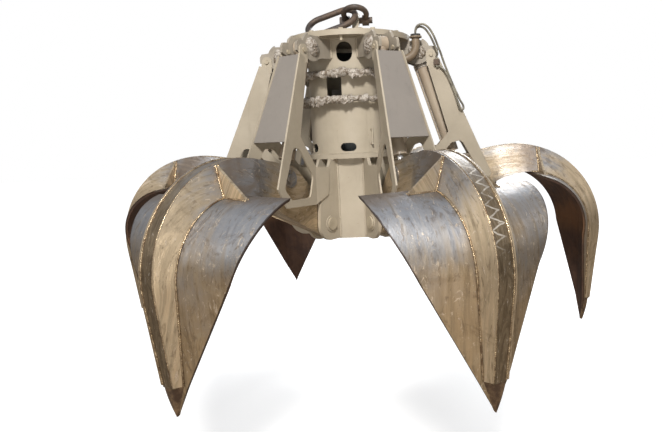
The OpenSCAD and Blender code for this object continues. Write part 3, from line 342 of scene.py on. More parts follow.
def dress(piece, finish):
    """Gives a piece or CAD node one finish."""
    if piece.material_slots:
        for holder in piece.material_slots:
            holder.link = "OBJECT"
            holder.material = finish.material
    else:
        piece.data.materials.append(finish.material)


sheath = Finish("cable_sheath", (0.30, 0.27, 0.20), 0.55)
grime = sheath.noise(18.0, 5.0)
sheath.color(sheath.blend(sheath.ramp(grime, 0.4, 0.65), (0.22, 0.20, 0.15), (0.10, 0.09, 0.07)))
sheath.gloss(sheath.ramp(grime, 0.3, 0.7, 0.42, 0.7))
sheath.height(sheath.noise(160.0, 2.0), 0.0006, 0.4)

clamp_low = np.array(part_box("cable_clamp")[0])
clamp_high = np.array(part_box("cable_clamp")[1])
clamp_mid = (clamp_low + clamp_high) / 2


def cable_end(steps, z, away):
    """The route in metres with two more points: a run-in short of the clamp's face, and on it."""
    route = np.array(steps) / 1000 + GROMMET_TOP
    end = np.array([clamp_mid[0], clamp_mid[1], z])
    return np.vstack([route, end + [0, 0, away], end])


for node, steps, z, away in (
    ("supply_cable_1", LONG_STEPS, clamp_low[2], -CLAMP_RUN_IN),
    ("supply_cable_2", SHORT_STEPS, clamp_high[2], CLAMP_RUN_IN),
):
    route = smooth_path(cable_end(steps, z, away), 6)
    cable = outward(surface("sheathed_" + node, tube_points(route, CABLE_R, 16)))
    dress(cable, sheath)
    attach(cable, "frame")
    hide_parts(node)
    reach = float(np.linalg.norm(np.diff(route, axis=0), axis=1).sum())

# Column, flange, housing, lugs, door and the guards' side plates. Welded steel plate under beige
# spray paint, slightly blotched and dusty, with rust runs; the upper lugs have a darker, greyer
# coat that is painted shade, with more rust.


def beige_paint(name, color, shade, rust=0.16, rough=0.48):
    """Two close tints mixed by broad noise, rust freckles by fine noise, orange-peel bump."""
    f = Finish(name, color, rough)
    broad = f.noise(2.6, 5.0, 0.6)
    runs = f.noise(1.0, 6.0, 0.65, source=f.stretched((22.0, 22.0, 2.2)))
    spots = f.noise(34.0, 6.0, 0.7)
    coat = f.blend(f.ramp(broad, 0.35, 0.68), color, shade)
    coat = f.blend(f.ramp(runs, 0.55, 0.78, 0.0, 0.35), coat, tuple(0.62 * c for c in color))
    freckle = f.ramp(spots, 0.66, 0.72, 0.0, rust * 4)
    coat = f.blend(freckle, coat, (0.17, 0.085, 0.04))
    f.color(coat)
    f.gloss(f.ramp(broad, 0.3, 0.7, rough - 0.08, rough + 0.14))
    f.height(f.noise(220.0, 2.0), 0.0004, 0.35)
    f.height(f.noise(9.0, 3.0), 0.004, 0.25)
    return f


frame_coat = beige_paint("frame_coat", (0.425, 0.372, 0.288), (0.36, 0.312, 0.238))
for node in ("top_flange", "column_tube", "ring_plate", "lower_housing", "base_plate",
             "lower_lugs", "door_plate", "lifting_lug", "oil_tank", "guard_plates"):
    dress(nodes[node], frame_coat)
# Painted shade: the upper lugs' coat is darker to stand in for the shadow they hang in; their extra
# rust freckles are real.
lug_coat_painted_shade = beige_paint("lug_coat_painted_shade", (0.36, 0.32, 0.26), (0.24, 0.21, 0.17), rust=0.24)
dress(nodes["upper_lugs"], lug_coat_painted_shade)

# Weld seams. Hand-laid beads along the plates' joints: a bead is a half-buried rod whose radius
# ripples with each electrode stroke. Those on painted parts are under the same beige coat.
BEAD_R, BEAD_STEP, BEAD_SIDES, BEAD_ROUGH, RIPPLE = 0.0065, 0.0035, 8, 0.22, 0.011
ROUND_SEAMS = ((0.332, 1.436), (0.334, 2.278))  # radius, height
PLATE_SEAMS = (  # distance across, then both ends as radius and height
    (0.0682, (0.3105, 0.800), (0.3105, 1.398)),
    (0.0795, (0.3285, 2.140), (0.3285, 2.276)),
    (0.0795, (0.345, 2.2785), (0.470, 2.2785)),
    (0.0682, (0.312, 1.4005), (0.366, 1.4005)),
)
draw = np.random.default_rng(41)


def bead_points(path, radius=BEAD_R, lean=(0.1, 1.0, 0.2)):
    """Points of a bead: its radius along the path times 1 + BEAD_ROUGH (ripple + noise)."""
    step = np.r_[0, np.cumsum(np.linalg.norm(np.diff(path, axis=0), axis=1))]
    along = np.linspace(0, step[-1], max(int(step[-1] / BEAD_STEP), 4))
    fine = np.stack([np.interp(along, step, path[:, i]) for i in range(3)], 1)
    stroke = np.abs(np.sin(np.pi * along / RIPPLE + draw.uniform(0, 3)))
    slow = np.interp(along, np.linspace(0, step[-1], 12), draw.normal(0, 0.6, 12))
    lump = draw.normal(0, 0.35, len(along))
    r = radius * (1 + BEAD_ROUGH * (stroke - 0.5 + slow + lump))
    r[[0, -1]] *= 0.6
    return tube_points(fine, r, BEAD_SIDES, lean)


def circle_path(radius, z, count=160):
    """Circle about the column's axis."""
    a = np.linspace(0, 2 * np.pi, count)
    return np.stack([radius * np.cos(a), radius * np.sin(a), np.full(count, z)], 1)


def turned(points, k):
    """Points of the first sector turned about the column by k sectors of 60 degrees."""
    c, s = math.cos(math.pi / 3 * k), math.sin(math.pi / 3 * k)
    return points @ np.array([[c, s, 0], [-s, c, 0], [0, 0, 1]])


seams = [bead_points(circle_path(r, z), lean=(0, 0, 1)) for r, z in ROUND_SEAMS]
for k in range(6):
    for side in (-1, 1):
        for across, start, end in PLATE_SEAMS:
            low, high = ((r, side * across, z) for r, z in (start, end))
            seams.append(bead_points(turned(np.linspace(low, high, 40), k)))
painted_seams = outward(surface("painted_weld_seams", seams))
dress(painted_seams, frame_coat)
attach(painted_seams, "frame")

# Guard covers. Flat steel sheets set between the side plates in front of each cylinder, in grey
# primer with a little dust and hardly any rust.
cover_coat = beige_paint("cover_coat", (0.235, 0.212, 0.188), (0.21, 0.19, 0.17), 0.05, 0.42)
dress(nodes["guard_covers"], cover_coat)

# Bolts and nuts round the flange and in the guards' ears. Steel, tightened before painting, so the
# coat is thin on their corners and brown shows through.
bolt_coat = beige_paint("bolt_coat", (0.50, 0.44, 0.33), (0.30, 0.25, 0.18), rust=0.22)
for node in ("flange_bolts", "guard_bolts"):
    dress(nodes[node], bolt_coat)

# Hinge pins and cylinder pins. Turned steel; the cylinder pins are greasy and brown, and the hinge
# pins' ends were painted with the lugs that hold them.
pin_metal = Finish("pin_metal", (0.34, 0.29, 0.22), 0.42, 0.75)
grease = pin_metal.noise(12.0, 6.0, 0.65)
grease_share = pin_metal.ramp(grease, 0.38, 0.62)
pin_metal.color(pin_metal.blend(grease_share, (0.42, 0.36, 0.27), (0.13, 0.085, 0.055)))
pin_metal.gloss(pin_metal.ramp(grease, 0.3, 0.7, 0.3, 0.62))
pin_metal.height(pin_metal.noise(70.0, 3.0), 0.001, 0.4)
dress(nodes["cylinder_pins"], pin_metal)
dress(nodes["hinge_pins"], bolt_coat)

# Shackle, its pin and the long link. Drop-forged steel bar that hangs loose in the lifting lug,
# dark from the forge, rubbed brown and pitted with rust.
forged = Finish("forged_bar", (0.11, 0.085, 0.07), 0.5, 0.5)
mottle = forged.noise(7.0, 7.0, 0.68)
pits = forged.noise(55.0, 5.0, 0.7)
rubbed = forged.ramp(mottle, 0.38, 0.66)
forged.color(forged.blend(rubbed, (0.062, 0.050, 0.044), (0.15, 0.105, 0.075)))
forged.gloss(forged.ramp(mottle, 0.3, 0.7, 0.45, 0.75))
forged.height(pits, 0.0016, 0.7)
for node in ("shackle_bow", "shackle_pin", "master_link"):
    dress(nodes[node], forged)

# Painted shade inside the column. A near-black sheet rolled against the rear wall behind the upper
# window stands in for the shade inside the column and keeps the window dark.
SHADE_SHEET_R, SHADE_SHEET_T, SHADE_SHEET_LOW, SHADE_SHEET_TOP = 0.3125, 0.002, 2.085, 2.268
SHADE_SHEET_FROM, SHADE_SHEET_TO, SHADE_SHEET_STEPS = 40, 140, 60
rear = np.radians(np.linspace(SHADE_SHEET_FROM, SHADE_SHEET_TO, SHADE_SHEET_STEPS))
there_and_back = np.concatenate([rear, rear[::-1]])
shade_sheet_r = np.repeat([SHADE_SHEET_R, SHADE_SHEET_R - SHADE_SHEET_T], SHADE_SHEET_STEPS)
shade_sheet_x, shade_sheet_y = shade_sheet_r * np.cos(there_and_back), shade_sheet_r * np.sin(there_and_back)
sheet = np.stack([np.stack([shade_sheet_x, shade_sheet_y, np.full(2 * SHADE_SHEET_STEPS, z)], 1)
                  for z in (SHADE_SHEET_LOW, SHADE_SHEET_TOP)], 0)
shade_sheet_coat = Finish("painted_shade_sheet", (0.012, 0.012, 0.011), 0.8)
shade_sheet_coat.gloss(shade_sheet_coat.ramp(shade_sheet_coat.noise(12.0), 0.3, 0.7, 0.7, 0.9))
shade_sheet_piece = outward(surface("column_shade_sheet", sheet))
dress(shade_sheet_piece, shade_sheet_coat)
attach(shade_sheet_piece, "frame")

# Motor, pump and valve block inside the column, seen only through the windows. Cast iron and
# steel: the motor in dark blue-grey machine paint, the pump and the block oily and brown.
machine = beige_paint("machine_paint", (0.10, 0.12, 0.13), (0.075, 0.085, 0.09), rust=0.1)
cast = beige_paint("cast_block", (0.13, 0.115, 0.10), (0.09, 0.08, 0.07), 0.25, 0.55)
dress(nodes["electric_motor"], machine)
dress(nodes["hydraulic_pump"], cast)
dress(nodes["valve_block"], cast)

# Cable elbow, its grommet and the clamp. A bent steel pipe in brown primer brings the cables out
# of the column through a black rubber grommet; a steel clamp on the guard ends them.
rubber = Finish("black_rubber", (0.03, 0.03, 0.03), 0.6)
rubber.height(rubber.noise(120.0, 2.0), 0.0006, 0.4)
rubber.gloss(rubber.ramp(rubber.noise(20.0), 0.3, 0.7, 0.5, 0.72))
rubber.color(rubber.blend(rubber.noise(14.0), (0.022, 0.022, 0.022), (0.05, 0.047, 0.042)))
elbow_coat = beige_paint("elbow_coat", (0.30, 0.235, 0.165), (0.20, 0.15, 0.10), 0.3, 0.36)
dress(nodes["cable_elbow"], elbow_coat)
dress(nodes["cable_grommet"], rubber)
dress(nodes["cable_clamp"], forged)

# Ring mains. Two oil pipes round the column, wrapped in protective film that has gone ragged, with
# loose flaps hanging from it. Short stand pipes hold them off the column.
MAIN_R, MAIN_PIPE_R = 0.392, 0.024
MAINS = ((2.027, 5), (1.839, 8))  # height, seed
AROUND, ABOUT = 1100, 26
FLAP_T = 0.0012
STAND_R, STAND_FROM, STAND_TO = 0.010, 0.3306, 0.385
foil = Finish("ragged_film", (0.45, 0.41, 0.36), 0.4, 0.12)
crumple = foil.noise(26.0, 6.0, 0.7, twist=1.6)
folds = foil.noise(70.0, 4.0, 0.6, twist=0.8)
shaded = foil.ramp(crumple, 0.40, 0.60)
foil.color(foil.blend(shaded, (0.50, 0.46, 0.41), (0.19, 0.15, 0.11)))
foil.gloss(foil.ramp(folds, 0.3, 0.7, 0.24, 0.6))
foil.height(crumple, 0.008, 0.9)
foil.height(folds, 0.003, 0.8)


def slow_wave(seed, count, periods):
    """Smooth random numbers of unit spread: a cosine sum whose waves fall off with their order."""
    wave = np.random.default_rng(seed)
    u = np.linspace(0, 2 * np.pi, count, endpoint=False)
    order = np.arange(1, periods + 1)[:, None]
    gain = wave.normal(size=(periods, 1)) / np.sqrt(1 + order / 12)
    out = (gain * np.cos(order * u + wave.uniform(0, 6.3, (periods, 1)))).sum(0)
    return out / out.std()


def crumpled_ring(z, seed):
    """Torus points whose pipe radius, centre and height wander, and whose skin is pinched by waves
    that run slantwise round the pipe."""
    wave = np.random.default_rng(seed)
    u = np.linspace(0, 2 * np.pi, AROUND, endpoint=False)[:, None]
    v = np.linspace(0, 2 * np.pi, ABOUT, endpoint=False)[None, :]
    slants = [wave.integers(30, 150) * u + wave.integers(-3, 4) * v + wave.uniform(0, 6)
              for _ in range(7)]
    pinch = sum(np.abs(np.sin(slant)) for slant in slants) / 7 - 0.6
    size = MAIN_PIPE_R * (1.02 + 0.17 * slow_wave(seed + 20, AROUND, 70)[:, None])
    r = np.clip(size * (1 + 0.55 * pinch), 0.017, 0.036)
    sag = 0.0035 * slow_wave(seed + 30, AROUND, 40)[:, None]
    out = MAIN_R + r * np.cos(v)
    return np.stack([out * np.cos(u), out * np.sin(u), z + sag + r * np.sin(v)], 2)


def hanging_flaps(z, seed, count=34):
    """Closed strips of film: from the pipe's underside each hangs, curls out and narrows."""
    wave = np.random.default_rng(seed)
    out = []
    for _ in range(count):
        a = wave.uniform(0, 2 * np.pi)
        wide, deep = wave.uniform(0.010, 0.045), wave.uniform(0.012, 0.040)
        t = np.linspace(0, 1, 7)[:, None]
        q = np.linspace(-1, 1, 9)[None, :]
        bend = a + (wide * q * (1 - 0.6 * t**2) + 0.01 * t * wave.normal()) / MAIN_R
        far = MAIN_R + 0.020 + 0.010 * np.sin(3 * t + 4 * q + wave.uniform(0, 6)) * t
        low = z - 0.012 - deep * t * (1 - 0.35 * q**2)
        face, back = (np.stack([r * np.cos(bend), r * np.sin(bend), low + 0 * bend], 2)
                      for r in (far, far - FLAP_T))
        out.append(np.concatenate([face, back[:, ::-1]], 1))
    return out


rings = [crumpled_ring(z, seed) for z, seed in MAINS]
wrap = outward(surface("wrapped_ring_mains", rings, ring=True, sharp=85))
hanging = [flap for z, seed in MAINS for flap in hanging_flaps(z, seed + 10)]
flaps = outward(surface("film_flaps", hanging, sharp=85))
stands = []
for z, _ in MAINS:
    for k in range(6):
        spoke = turned(np.linspace((STAND_FROM, 0, z), (STAND_TO, 0, z), 6), k + 0.25)
        stands.append(tube_points(spoke, STAND_R, 12, lean=(0, 0, 1)))
pipe_stands = outward(surface("ring_main_stands", stands))
for piece, finish in ((wrap, foil), (flaps, foil), (pipe_stands, frame_coat)):
    dress(piece, finish)
    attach(piece, "frame")
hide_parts("ring_mains")

# Cylinders. Six double-acting cylinders between the upper lugs and the tines: steel barrels in
# brownish primer, and rods in hard chrome.
barrel_coat = beige_paint("barrel_primer", (0.42, 0.35, 0.265), (0.33, 0.26, 0.19), 0.2, 0.38)
chrome = Finish("chromed_rod", (0.62, 0.61, 0.60), 0.16, 1.0)
chrome.gloss(chrome.ramp(chrome.noise(30.0), 0.3, 0.7, 0.12, 0.3))
for k in range(1, 7):
    dress(nodes[f"cylinder_barrel_{k}"], barrel_coat)
    dress(nodes[f"cylinder_rod_{k}"], chrome)

# Film on the cylinders' top ends. The same film as on the ring mains, wound and crumpled round
# each barrel just below its eye; it turns with the barrel.
PIN = np.array([0.535, 2.200])
ROD_PIN = np.array([0.830, 1.290])
FILM_R = 0.0485
down_barrel = (ROD_PIN - PIN) / np.linalg.norm(ROD_PIN - PIN)


def folded(wave, around, along, turns, slants, count):
    """Mean of count waves |sin(n around + m along + phase)|, n drawn from turns, m from slants."""
    waves = [wave.integers(*turns) * around + wave.uniform(*slants) * along + wave.uniform(0, 6)
             for _ in range(count)]
    return sum(np.abs(np.sin(w)) for w in waves) / count


def wound_film(seed, start=0.062, end=0.128, rows=46, columns=72):
    """A sleeve round the barrel's axis whose radius swells in folds and closes at both ends."""
    wave = np.random.default_rng(seed)
    t = np.linspace(0, 1, rows)[:, None]
    a = np.linspace(0, 2 * np.pi, columns, endpoint=False)[None, :]
    fold = folded(wave, a, t, (2, 9), (2, 14), 5)
    r = FILM_R + (0.0015 + 0.006 * fold) * np.sqrt(np.clip(np.sin(np.pi * t), 0, 1))
    d = start + (end - start) * t + 0 * a
    x = PIN[0] + d * down_barrel[0] - r * np.cos(a) * down_barrel[1]
    z = PIN[1] + d * down_barrel[1] + r * np.cos(a) * down_barrel[0]
    return np.stack([x, r * np.sin(a), z], 2)


for k in range(6):
    sleeve = outward(surface(f"eye_film_{k + 1}", turned(wound_film(60 + k), k), sharp=85))
    dress(sleeve, foil)
    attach(sleeve, f"barrel_{k + 1}")

# Film over the upper pins' ends. A crumpled cap of the same film, taped on the outer face of each
# upper lug plate to keep paint and dirt off the pin.
LUG_FACE = 0.0785
CAP_R, CAP_RISE = 0.062, 0.030


def crumpled_cap(side, seed, rows=22, columns=60):
    """A low dome on the lug's face: height falls off as cos of the radius, both broken by folds."""
    wave = np.random.default_rng(seed)
    t = np.linspace(0.02, 1, rows)[:, None]
    a = np.linspace(0, 2 * np.pi, columns, endpoint=False)[None, :]
    fold = folded(wave, a, t, (2, 10), (-9, 9), 6) - 0.6
    r = t * (CAP_R + 0.010 * np.cos(2 * a + seed) + 0.012 * fold)
    rise = CAP_RISE * np.cos(np.pi / 2 * t) ** 0.6 * (1 + 0.7 * fold)
    x, z = PIN[0] + r * np.cos(a), PIN[1] + r * np.sin(a)
    front = np.stack([x, side * (LUG_FACE + 0.001 + np.maximum(rise, 0)), z], 2)
    back = np.stack([x[-1:], np.full((1, columns), side * LUG_FACE), z[-1:]], 2)
    return np.vstack([front, back])


caps = [turned(crumpled_cap(side, 90 + 2 * k + side), k) for k in range(6) for side in (-1, 1)]
pin_film = outward(surface("pin_end_film", caps, sharp=85))
dress(pin_film, foil)
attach(pin_film, "frame")

# Arms of the tines. Each is a curved box of welded plate: two side plates that widen from the back
# plate down to the cupped shell, a recessed back plate, a plug in the blunt end, bosses at pins.
HINGE = np.array([0.416, 0.920])
BACK_CENTRE, BACK_R, BACK_FIRST, BACK_LAST = HINGE + (0.851, -0.129), 0.665, 90, -7
BELLY_CENTRE, BELLY_R, BELLY_FIRST, BELLY_LAST = HINGE + (0.962, -0.138), 0.455, 96, -3
TIP = np.array([1.810, 0.0])
BEAM_END_Z = 0.200
ROOT_HALF, BACK_HALF, BELLY_HALF = 0.037, 0.068, 0.130
BACK_END_HALF, BELLY_END_HALF = 0.058, 0.082
BELLY_MID_HALF = BELLY_HALF + 0.3 * (BELLY_END_HALF - BELLY_HALF)
WALL = 0.018
CURVE_STEPS, STRAIGHT_STEPS, FINE = 12, 4, 7
ON_ARC = np.arange(1, CURVE_STEPS + 1) / CURVE_STEPS
# Shares of the way from the hinge to the top of each curve, and of the width's growth on that way.
ARM_BACK = [(-0.02, 0.19), (0.12, 0.39), (0.287, 0.638), (0.416, 0.825), (0.575, 0.892),
            (0.731, 0.944), (0.862, 0.981), (1, 1)]
ARM_BELLY = [(0.064, -0.265), (0.191, -0.076), (0.316, 0.11), (0.451, 0.315), (0.566, 0.498),
             (0.695, 0.71), (0.794, 0.883), (0.95, 0.992)]
BACK_GROWTH = [0, 0, 0.61, 0.8, 0.87, 1, 1, 1]
BELLY_GROWTH = [0, 0, 0.22, 0.31, 0.42, 0.68, 0.95, 1]


def ray(angle):
    """Unit vector in the tine's plane at an angle in degrees above the outward direction."""
    a = np.radians(angle)
    return np.stack([np.cos(a), np.sin(a)], -1)


def edge_stations(shares, centre, radius, first, last):
    """Points down one edge of the arm in its plane: given shares of the way from the hinge to the
    curve's top, and the arc from angle first to last."""
    arm = HINGE + np.array(shares) * (centre + (0, radius) - HINGE)
    return arm, centre + radius * ray(first + ON_ARC * (last - first))


arm, arc = edge_stations(ARM_BACK, BACK_CENTRE, BACK_R, BACK_FIRST, BACK_LAST)
drop = arc[-1, 1] - BEAM_END_Z
back_end = arc[-1] + (drop * math.tan(math.radians(BACK_LAST)), -drop)
share = np.arange(1, STRAIGHT_STEPS + 1)[:, None] / STRAIGHT_STEPS
back_line = np.vstack([arm, arc, arc[-1] + share * (back_end - arc[-1])])
arm, arc = edge_stations(ARM_BELLY, BELLY_CENTRE, BELLY_R, BELLY_FIRST, BELLY_LAST)
belly_end = arc[-1] + (TIP - arc[-1]) * (arc[-1, 1] - BEAM_END_Z) / arc[-1, 1]
belly_line = np.vstack([arm, arc, arc[-1] + share * (belly_end - arc[-1])])
down = share[:, 0]
back_half = np.r_[ROOT_HALF + np.array(BACK_GROWTH) * (BACK_HALF - ROOT_HALF),
                  np.full(CURVE_STEPS, BACK_HALF),
                  BACK_HALF + down * (BACK_END_HALF - BACK_HALF)]
belly_half = np.r_[ROOT_HALF + np.array(BELLY_GROWTH) * (BELLY_HALF - ROOT_HALF),
                   BELLY_HALF + ON_ARC**4 * (BELLY_MID_HALF - BELLY_HALF),
                   BELLY_MID_HALF + down * (BELLY_END_HALF - BELLY_MID_HALF)]
arm_table = smooth_path(np.column_stack([back_line, belly_line, back_half, belly_half]), FINE)
BACK, BELLY, BACK_W, BELLY_W = arm_table[:, :2], arm_table[:, 2:4], arm_table[:, 4], arm_table[:, 5]
DEPTH = np.linalg.norm(BACK - BELLY, axis=1)
RISE = (BACK - BELLY) / DEPTH[:, None]
ALONG = np.r_[0, np.cumsum(np.linalg.norm(np.diff(BACK, axis=0), axis=1))]


def arm_width(d):
    """Half width of the arm d metres above its belly line."""
    return BELLY_W + (BACK_W - BELLY_W) * d / DEPTH


def arm_point(d, y):
    """Points of the arm at depth d above the belly line and y across, one for each station."""
    p = BELLY + RISE * np.broadcast_to(np.asarray(d, float), DEPTH.shape)[:, None]
    return np.stack([p[:, 0], np.broadcast_to(y, DEPTH.shape), p[:, 1]], 1)


def channel_grid():
    """Rings of the open channel: outer back, belly, belly, back, then inner faces one wall in."""
    w = WALL
    inner, rim = arm_width(w) - w, BACK_W - w
    mid = DEPTH * 0.5
    columns = [(DEPTH, -BACK_W), (mid, -arm_width(mid)), (0, -BELLY_W), (0, BELLY_W),
               (mid, arm_width(mid)), (DEPTH, BACK_W), (DEPTH, rim), (w, inner),
               (w, -inner), (DEPTH, -rim)]
    return np.stack([arm_point(d, y) for d, y in columns], 1)


RECESS, BITE, OVERHANG, SUNK = 0.004, 0.004, 0.012, 0.002
BACK_FROM = 4 * FINE


def back_plate_grid():
    """Rings of the back plate, recessed between the side plates, its lower end standing proud."""
    d = DEPTH - RECESS
    low = d - WALL
    h, g = arm_width(d) - WALL + BITE, arm_width(low) - WALL + BITE
    corners = [arm_point(d, -h), arm_point(low, -g), arm_point(low, g), arm_point(d, h)]
    rings = np.stack(corners, 1)[BACK_FROM:]
    step = rings[-1:] - rings[-2:-1]
    tail = rings[-1:] + step * OVERHANG / np.linalg.norm(rings[-1, 0] - rings[-2, 0])
    return np.vstack([rings, tail])


def end_plate_grid():
    """The plug that closes the arm's blunt end, along its last four stations."""
    d = DEPTH - RECESS - SUNK
    low, high = BELLY_W - 0.004, arm_width(DEPTH - RECESS) - 0.004
    corners = [arm_point(SUNK, -low), arm_point(d, -high), arm_point(d, high), arm_point(SUNK, low)]
    return np.stack(corners, 1)[-4:]


def disc_bar(x, z, radii, ys):
    """A turned bar across the tine's plane: radii and places along Y of its steps."""
    a = np.linspace(0, 2 * np.pi, 56, endpoint=False)
    return np.stack([np.stack([x + r * np.cos(a), np.full(56, y), z + r * np.sin(a)], 1)
                     for r, y in zip(radii, ys)], 0)


# Finish of the tines. Mill plate, bare at the crown, with golden-brown lacquer brushed over it
# towards the tip. The mark down runs 0 at the crown to 1 at the tip, edge 0 at the weld to 1 at the
# shell's edge, inside is 1 in the cup. A grinder went down the back of one tine in a zigzag.
ZIGZAG, GROUND_TINE = 0.075, 5


def lacquered_steel(name, gold_from, gold_to, grey=(0.33, 0.335, 0.35), gold=(0.42, 0.315, 0.195)):
    """Grey plate and golden lacquer mixed by down plus broad noise, long brushed streaks along the
    plate, dark stains, bright scuffs whose colour is partly a painted glint, weld heat on the
    gussets where the mark heat is 1, painted shade darkening the back plate where back is 1, on it
    a ground line where across follows the swing of metre, painted shade along the plate's rim where
    edge is
    1, and brown rust with a pale band on the inner face."""
    f = Finish(name, grey, 0.36, 0.8)
    uv, down = f.plate(), f.mark("down")
    streak = f.noise(1.0, 5.0, 0.55, source=f.stretched((1.7, 30.0, 1.0), uv), twist=0.35)
    broad = f.noise(2.2, 5.0, 0.6)
    cloud = f.noise(5.5, 6.0, 0.66, twist=1.2)
    level = f.sum(down, f.sum(f.sum(broad, -0.5), 0.9, "MULTIPLY"))
    level = f.sum(level, f.ramp(streak, 0.3, 0.7, -0.07, 0.07))
    golden = f.ramp(level, gold_from, gold_to)
    steel = f.blend(f.ramp(cloud, 0.35, 0.7), grey, tuple(0.72 * c for c in grey))
    steel = f.blend(f.ramp(streak, 0.5, 0.75, 0.0, 0.4), steel, (0.40, 0.36, 0.30))
    lacquer = f.blend(f.ramp(streak, 0.36, 0.66), gold, tuple(0.62 * c for c in gold))
    lacquer = f.blend(f.ramp(cloud, 0.52, 0.75, 0.0, 0.6), lacquer, (0.42, 0.345, 0.24))
    coat = f.blend(golden, steel, lacquer)
    stain = f.ramp(f.noise(2.7, 7.0, 0.7, twist=1.6), 0.56, 0.74, 0.0, 0.7)
    coat = f.blend(stain, coat, (0.10, 0.066, 0.036))
    # The scratches are real wear in their bump and gloss, but their bright colour is a painted
    # glint.
    scratch_and_glint = f.noise(1.0, 6.0, 0.75, source=f.stretched((6.0, 15.0, 1.0), uv), twist=3.0)
    coat = f.blend(f.ramp(scratch_and_glint, 0.585, 0.64, 0, 0.85), coat, (0.66, 0.56, 0.44))
    smear = f.noise(1.0, 5.0, 0.7, source=f.stretched((3.0, 9.0, 1.0), uv), twist=4.0)
    coat = f.blend(f.ramp(smear, 0.36, 0.46, 0.5, 0.0), coat, (0.13, 0.09, 0.055))
    coat = f.blend(f.sum(f.mark("heat"), 0.8, "MULTIPLY"), coat, (0.40, 0.225, 0.10))
    near_crown = f.sum(down, f.ramp(cloud, 0.3, 0.7, -0.05, 0.05))
    crown = f.ramp(near_crown, 0.0, 0.15, 0.8, 0.0)
    coat = f.blend(crown, coat, (0.17, 0.125, 0.085))
    # Painted shade: the back plate is darkened to stand in for the shade it lies in; the grinder
    # scuffs on it are real wear.
    back = f.sum(f.mark("back"), f.ramp(down, 0.05, 0.35, 0.25, 0.85), "MULTIPLY")
    shaded_back_coat = f.blend(f.ramp(smear, 0.42, 0.60), (0.10, 0.072, 0.042), (0.19, 0.145, 0.092))
    shaded_back_coat = f.blend(f.ramp(scratch_and_glint, 0.59, 0.66, 0, 0.8), shaded_back_coat, (0.56, 0.50, 0.42))
    coat = f.blend(back, coat, shaded_back_coat)
    swing = f.sum(f.sum(f.mark("metre"), ZIGZAG / 2, "PINGPONG"), ZIGZAG / 2, "DIVIDE")
    swing = f.sum(f.sum(swing, -0.5), 1.4, "MULTIPLY")
    stray = f.sum(f.sum(f.mark("across"), swing, "SUBTRACT"), f.ramp(broad, 0.3, 0.7, -0.7, 0.7))
    ground = f.ramp(f.sum(stray, 0.0, "ABSOLUTE"), 0.08, 0.24, 0.9, 0.0)
    ground = f.sum(ground, f.ramp(down, 0.44, 0.56, 1.0, 0.0), "MULTIPLY")
    ground = f.sum(ground, f.ramp(down, 0.10, 0.24), "MULTIPLY")
    ground = f.sum(ground, f.ramp(cloud, 0.40, 0.54, 0.15, 1.0), "MULTIPLY")
    coat = f.blend(f.sum(ground, f.mark("back"), "MULTIPLY"), coat, (0.66, 0.61, 0.53))
    # Painted shade: a dark strip along the plate's rim stands in for the shadow on the plate's
    # edge.
    rim_shade = f.sum(f.mark("edge"), f.ramp(cloud, 0.3, 0.7, -0.012, 0.008))
    rim_shade = f.ramp(rim_shade, 0.975, 0.99, 0.0, 0.85)
    coat = f.blend(rim_shade, coat, (0.045, 0.028, 0.018))
    rust = f.blend(f.ramp(cloud, 0.35, 0.65), (0.065, 0.034, 0.024), (0.12, 0.066, 0.043))
    band = f.ramp(f.sum(down, f.ramp(broad, 0.3, 0.7, -0.05, 0.05)), 0.30, 0.40)
    band = f.sum(band, f.ramp(down, 0.46, 0.56, 1.0, 0.0), "MULTIPLY")
    rust = f.blend(f.sum(band, 0.6, "MULTIPLY"), rust, (0.26, 0.13, 0.06))
    inner = f.mark("inside")
    f.color(f.blend(inner, coat, rust))
    f.metal(f.ramp(inner, 0.0, 1.0, 0.8, 0.15))
    shine = f.sum(f.ramp(streak, 0.3, 0.7, 0.33, 0.50), f.ramp(cloud, 0.3, 0.7, -0.06, 0.1))
    shine = f.sum(shine, f.ramp(scratch_and_glint, 0.58, 0.68, 0.0, -0.12))
    f.gloss(f.sum(shine, f.ramp(inner, 0.0, 1.0, 0.0, 0.3)))
    f.height(f.noise(1.0, 5.0, 0.6, source=f.stretched((9.0, 90.0, 1.0), uv)), 0.0009, 0.5)
    f.height(scratch_and_glint, 0.0022, 0.5)
    f.height(f.noise(4.0, 3.0), 0.012, 0.4)
    return f


beam_steel = lacquered_steel("beam_plate", 0.0, 0.35, gold=(0.61, 0.49, 0.335))
shell_steel = lacquered_steel("shell_plate", 0.12, 0.62)

# Shells. Cups of bent plate welded to the arms. Their edges follow from the closed grab: each face
# runs out to the plane midway between two tines, 8 mm short of it; beside the arm the plate folds
# inwards. SWING is how far a tine turns from open to closed.
SWING = math.radians(70.574)
FOLD, SECTOR_GAP, SKIN = 21.0, 0.008, 0.0003
SHELL_T, SHELL_TIP_T, TIP_HALF, TIP_SHARE = 0.018, 0.009, 0.003, 0.985
ARM_N, TIP_STEPS = len(ARM_BACK), 3


def station_table():
    """The shell's stations: line point, normal's angle, fold, half width of the arm, thickness."""
    t = np.arange(1, TIP_STEPS + 1)[:, None] / TIP_STEPS
    low = belly_end + t * TIP_SHARE * (TIP - belly_end)
    points = np.vstack([belly_line[ARM_N:], low])
    n = len(points)
    place = np.arange(n) + 1
    on_arc = place <= CURVE_STEPS
    swept = BELLY_FIRST + place / CURVE_STEPS * (BELLY_LAST - BELLY_FIRST)
    angle = np.where(on_arc, swept, BELLY_LAST)
    fold = np.where(on_arc, FOLD * (1 - np.maximum(angle, 0) / 90), FOLD)
    tail = np.clip((place - (n - TIP_STEPS)) / TIP_STEPS, 0, 1)
    joint = np.r_[belly_half[ARM_N:], np.zeros(TIP_STEPS)]
    joint = np.where(tail > 0, BELLY_END_HALF + tail * (TIP_HALF - BELLY_END_HALF), joint)
    thick = SHELL_T + tail * (SHELL_TIP_T - SHELL_T)
    return np.column_stack([points, angle, fold, joint, thick])


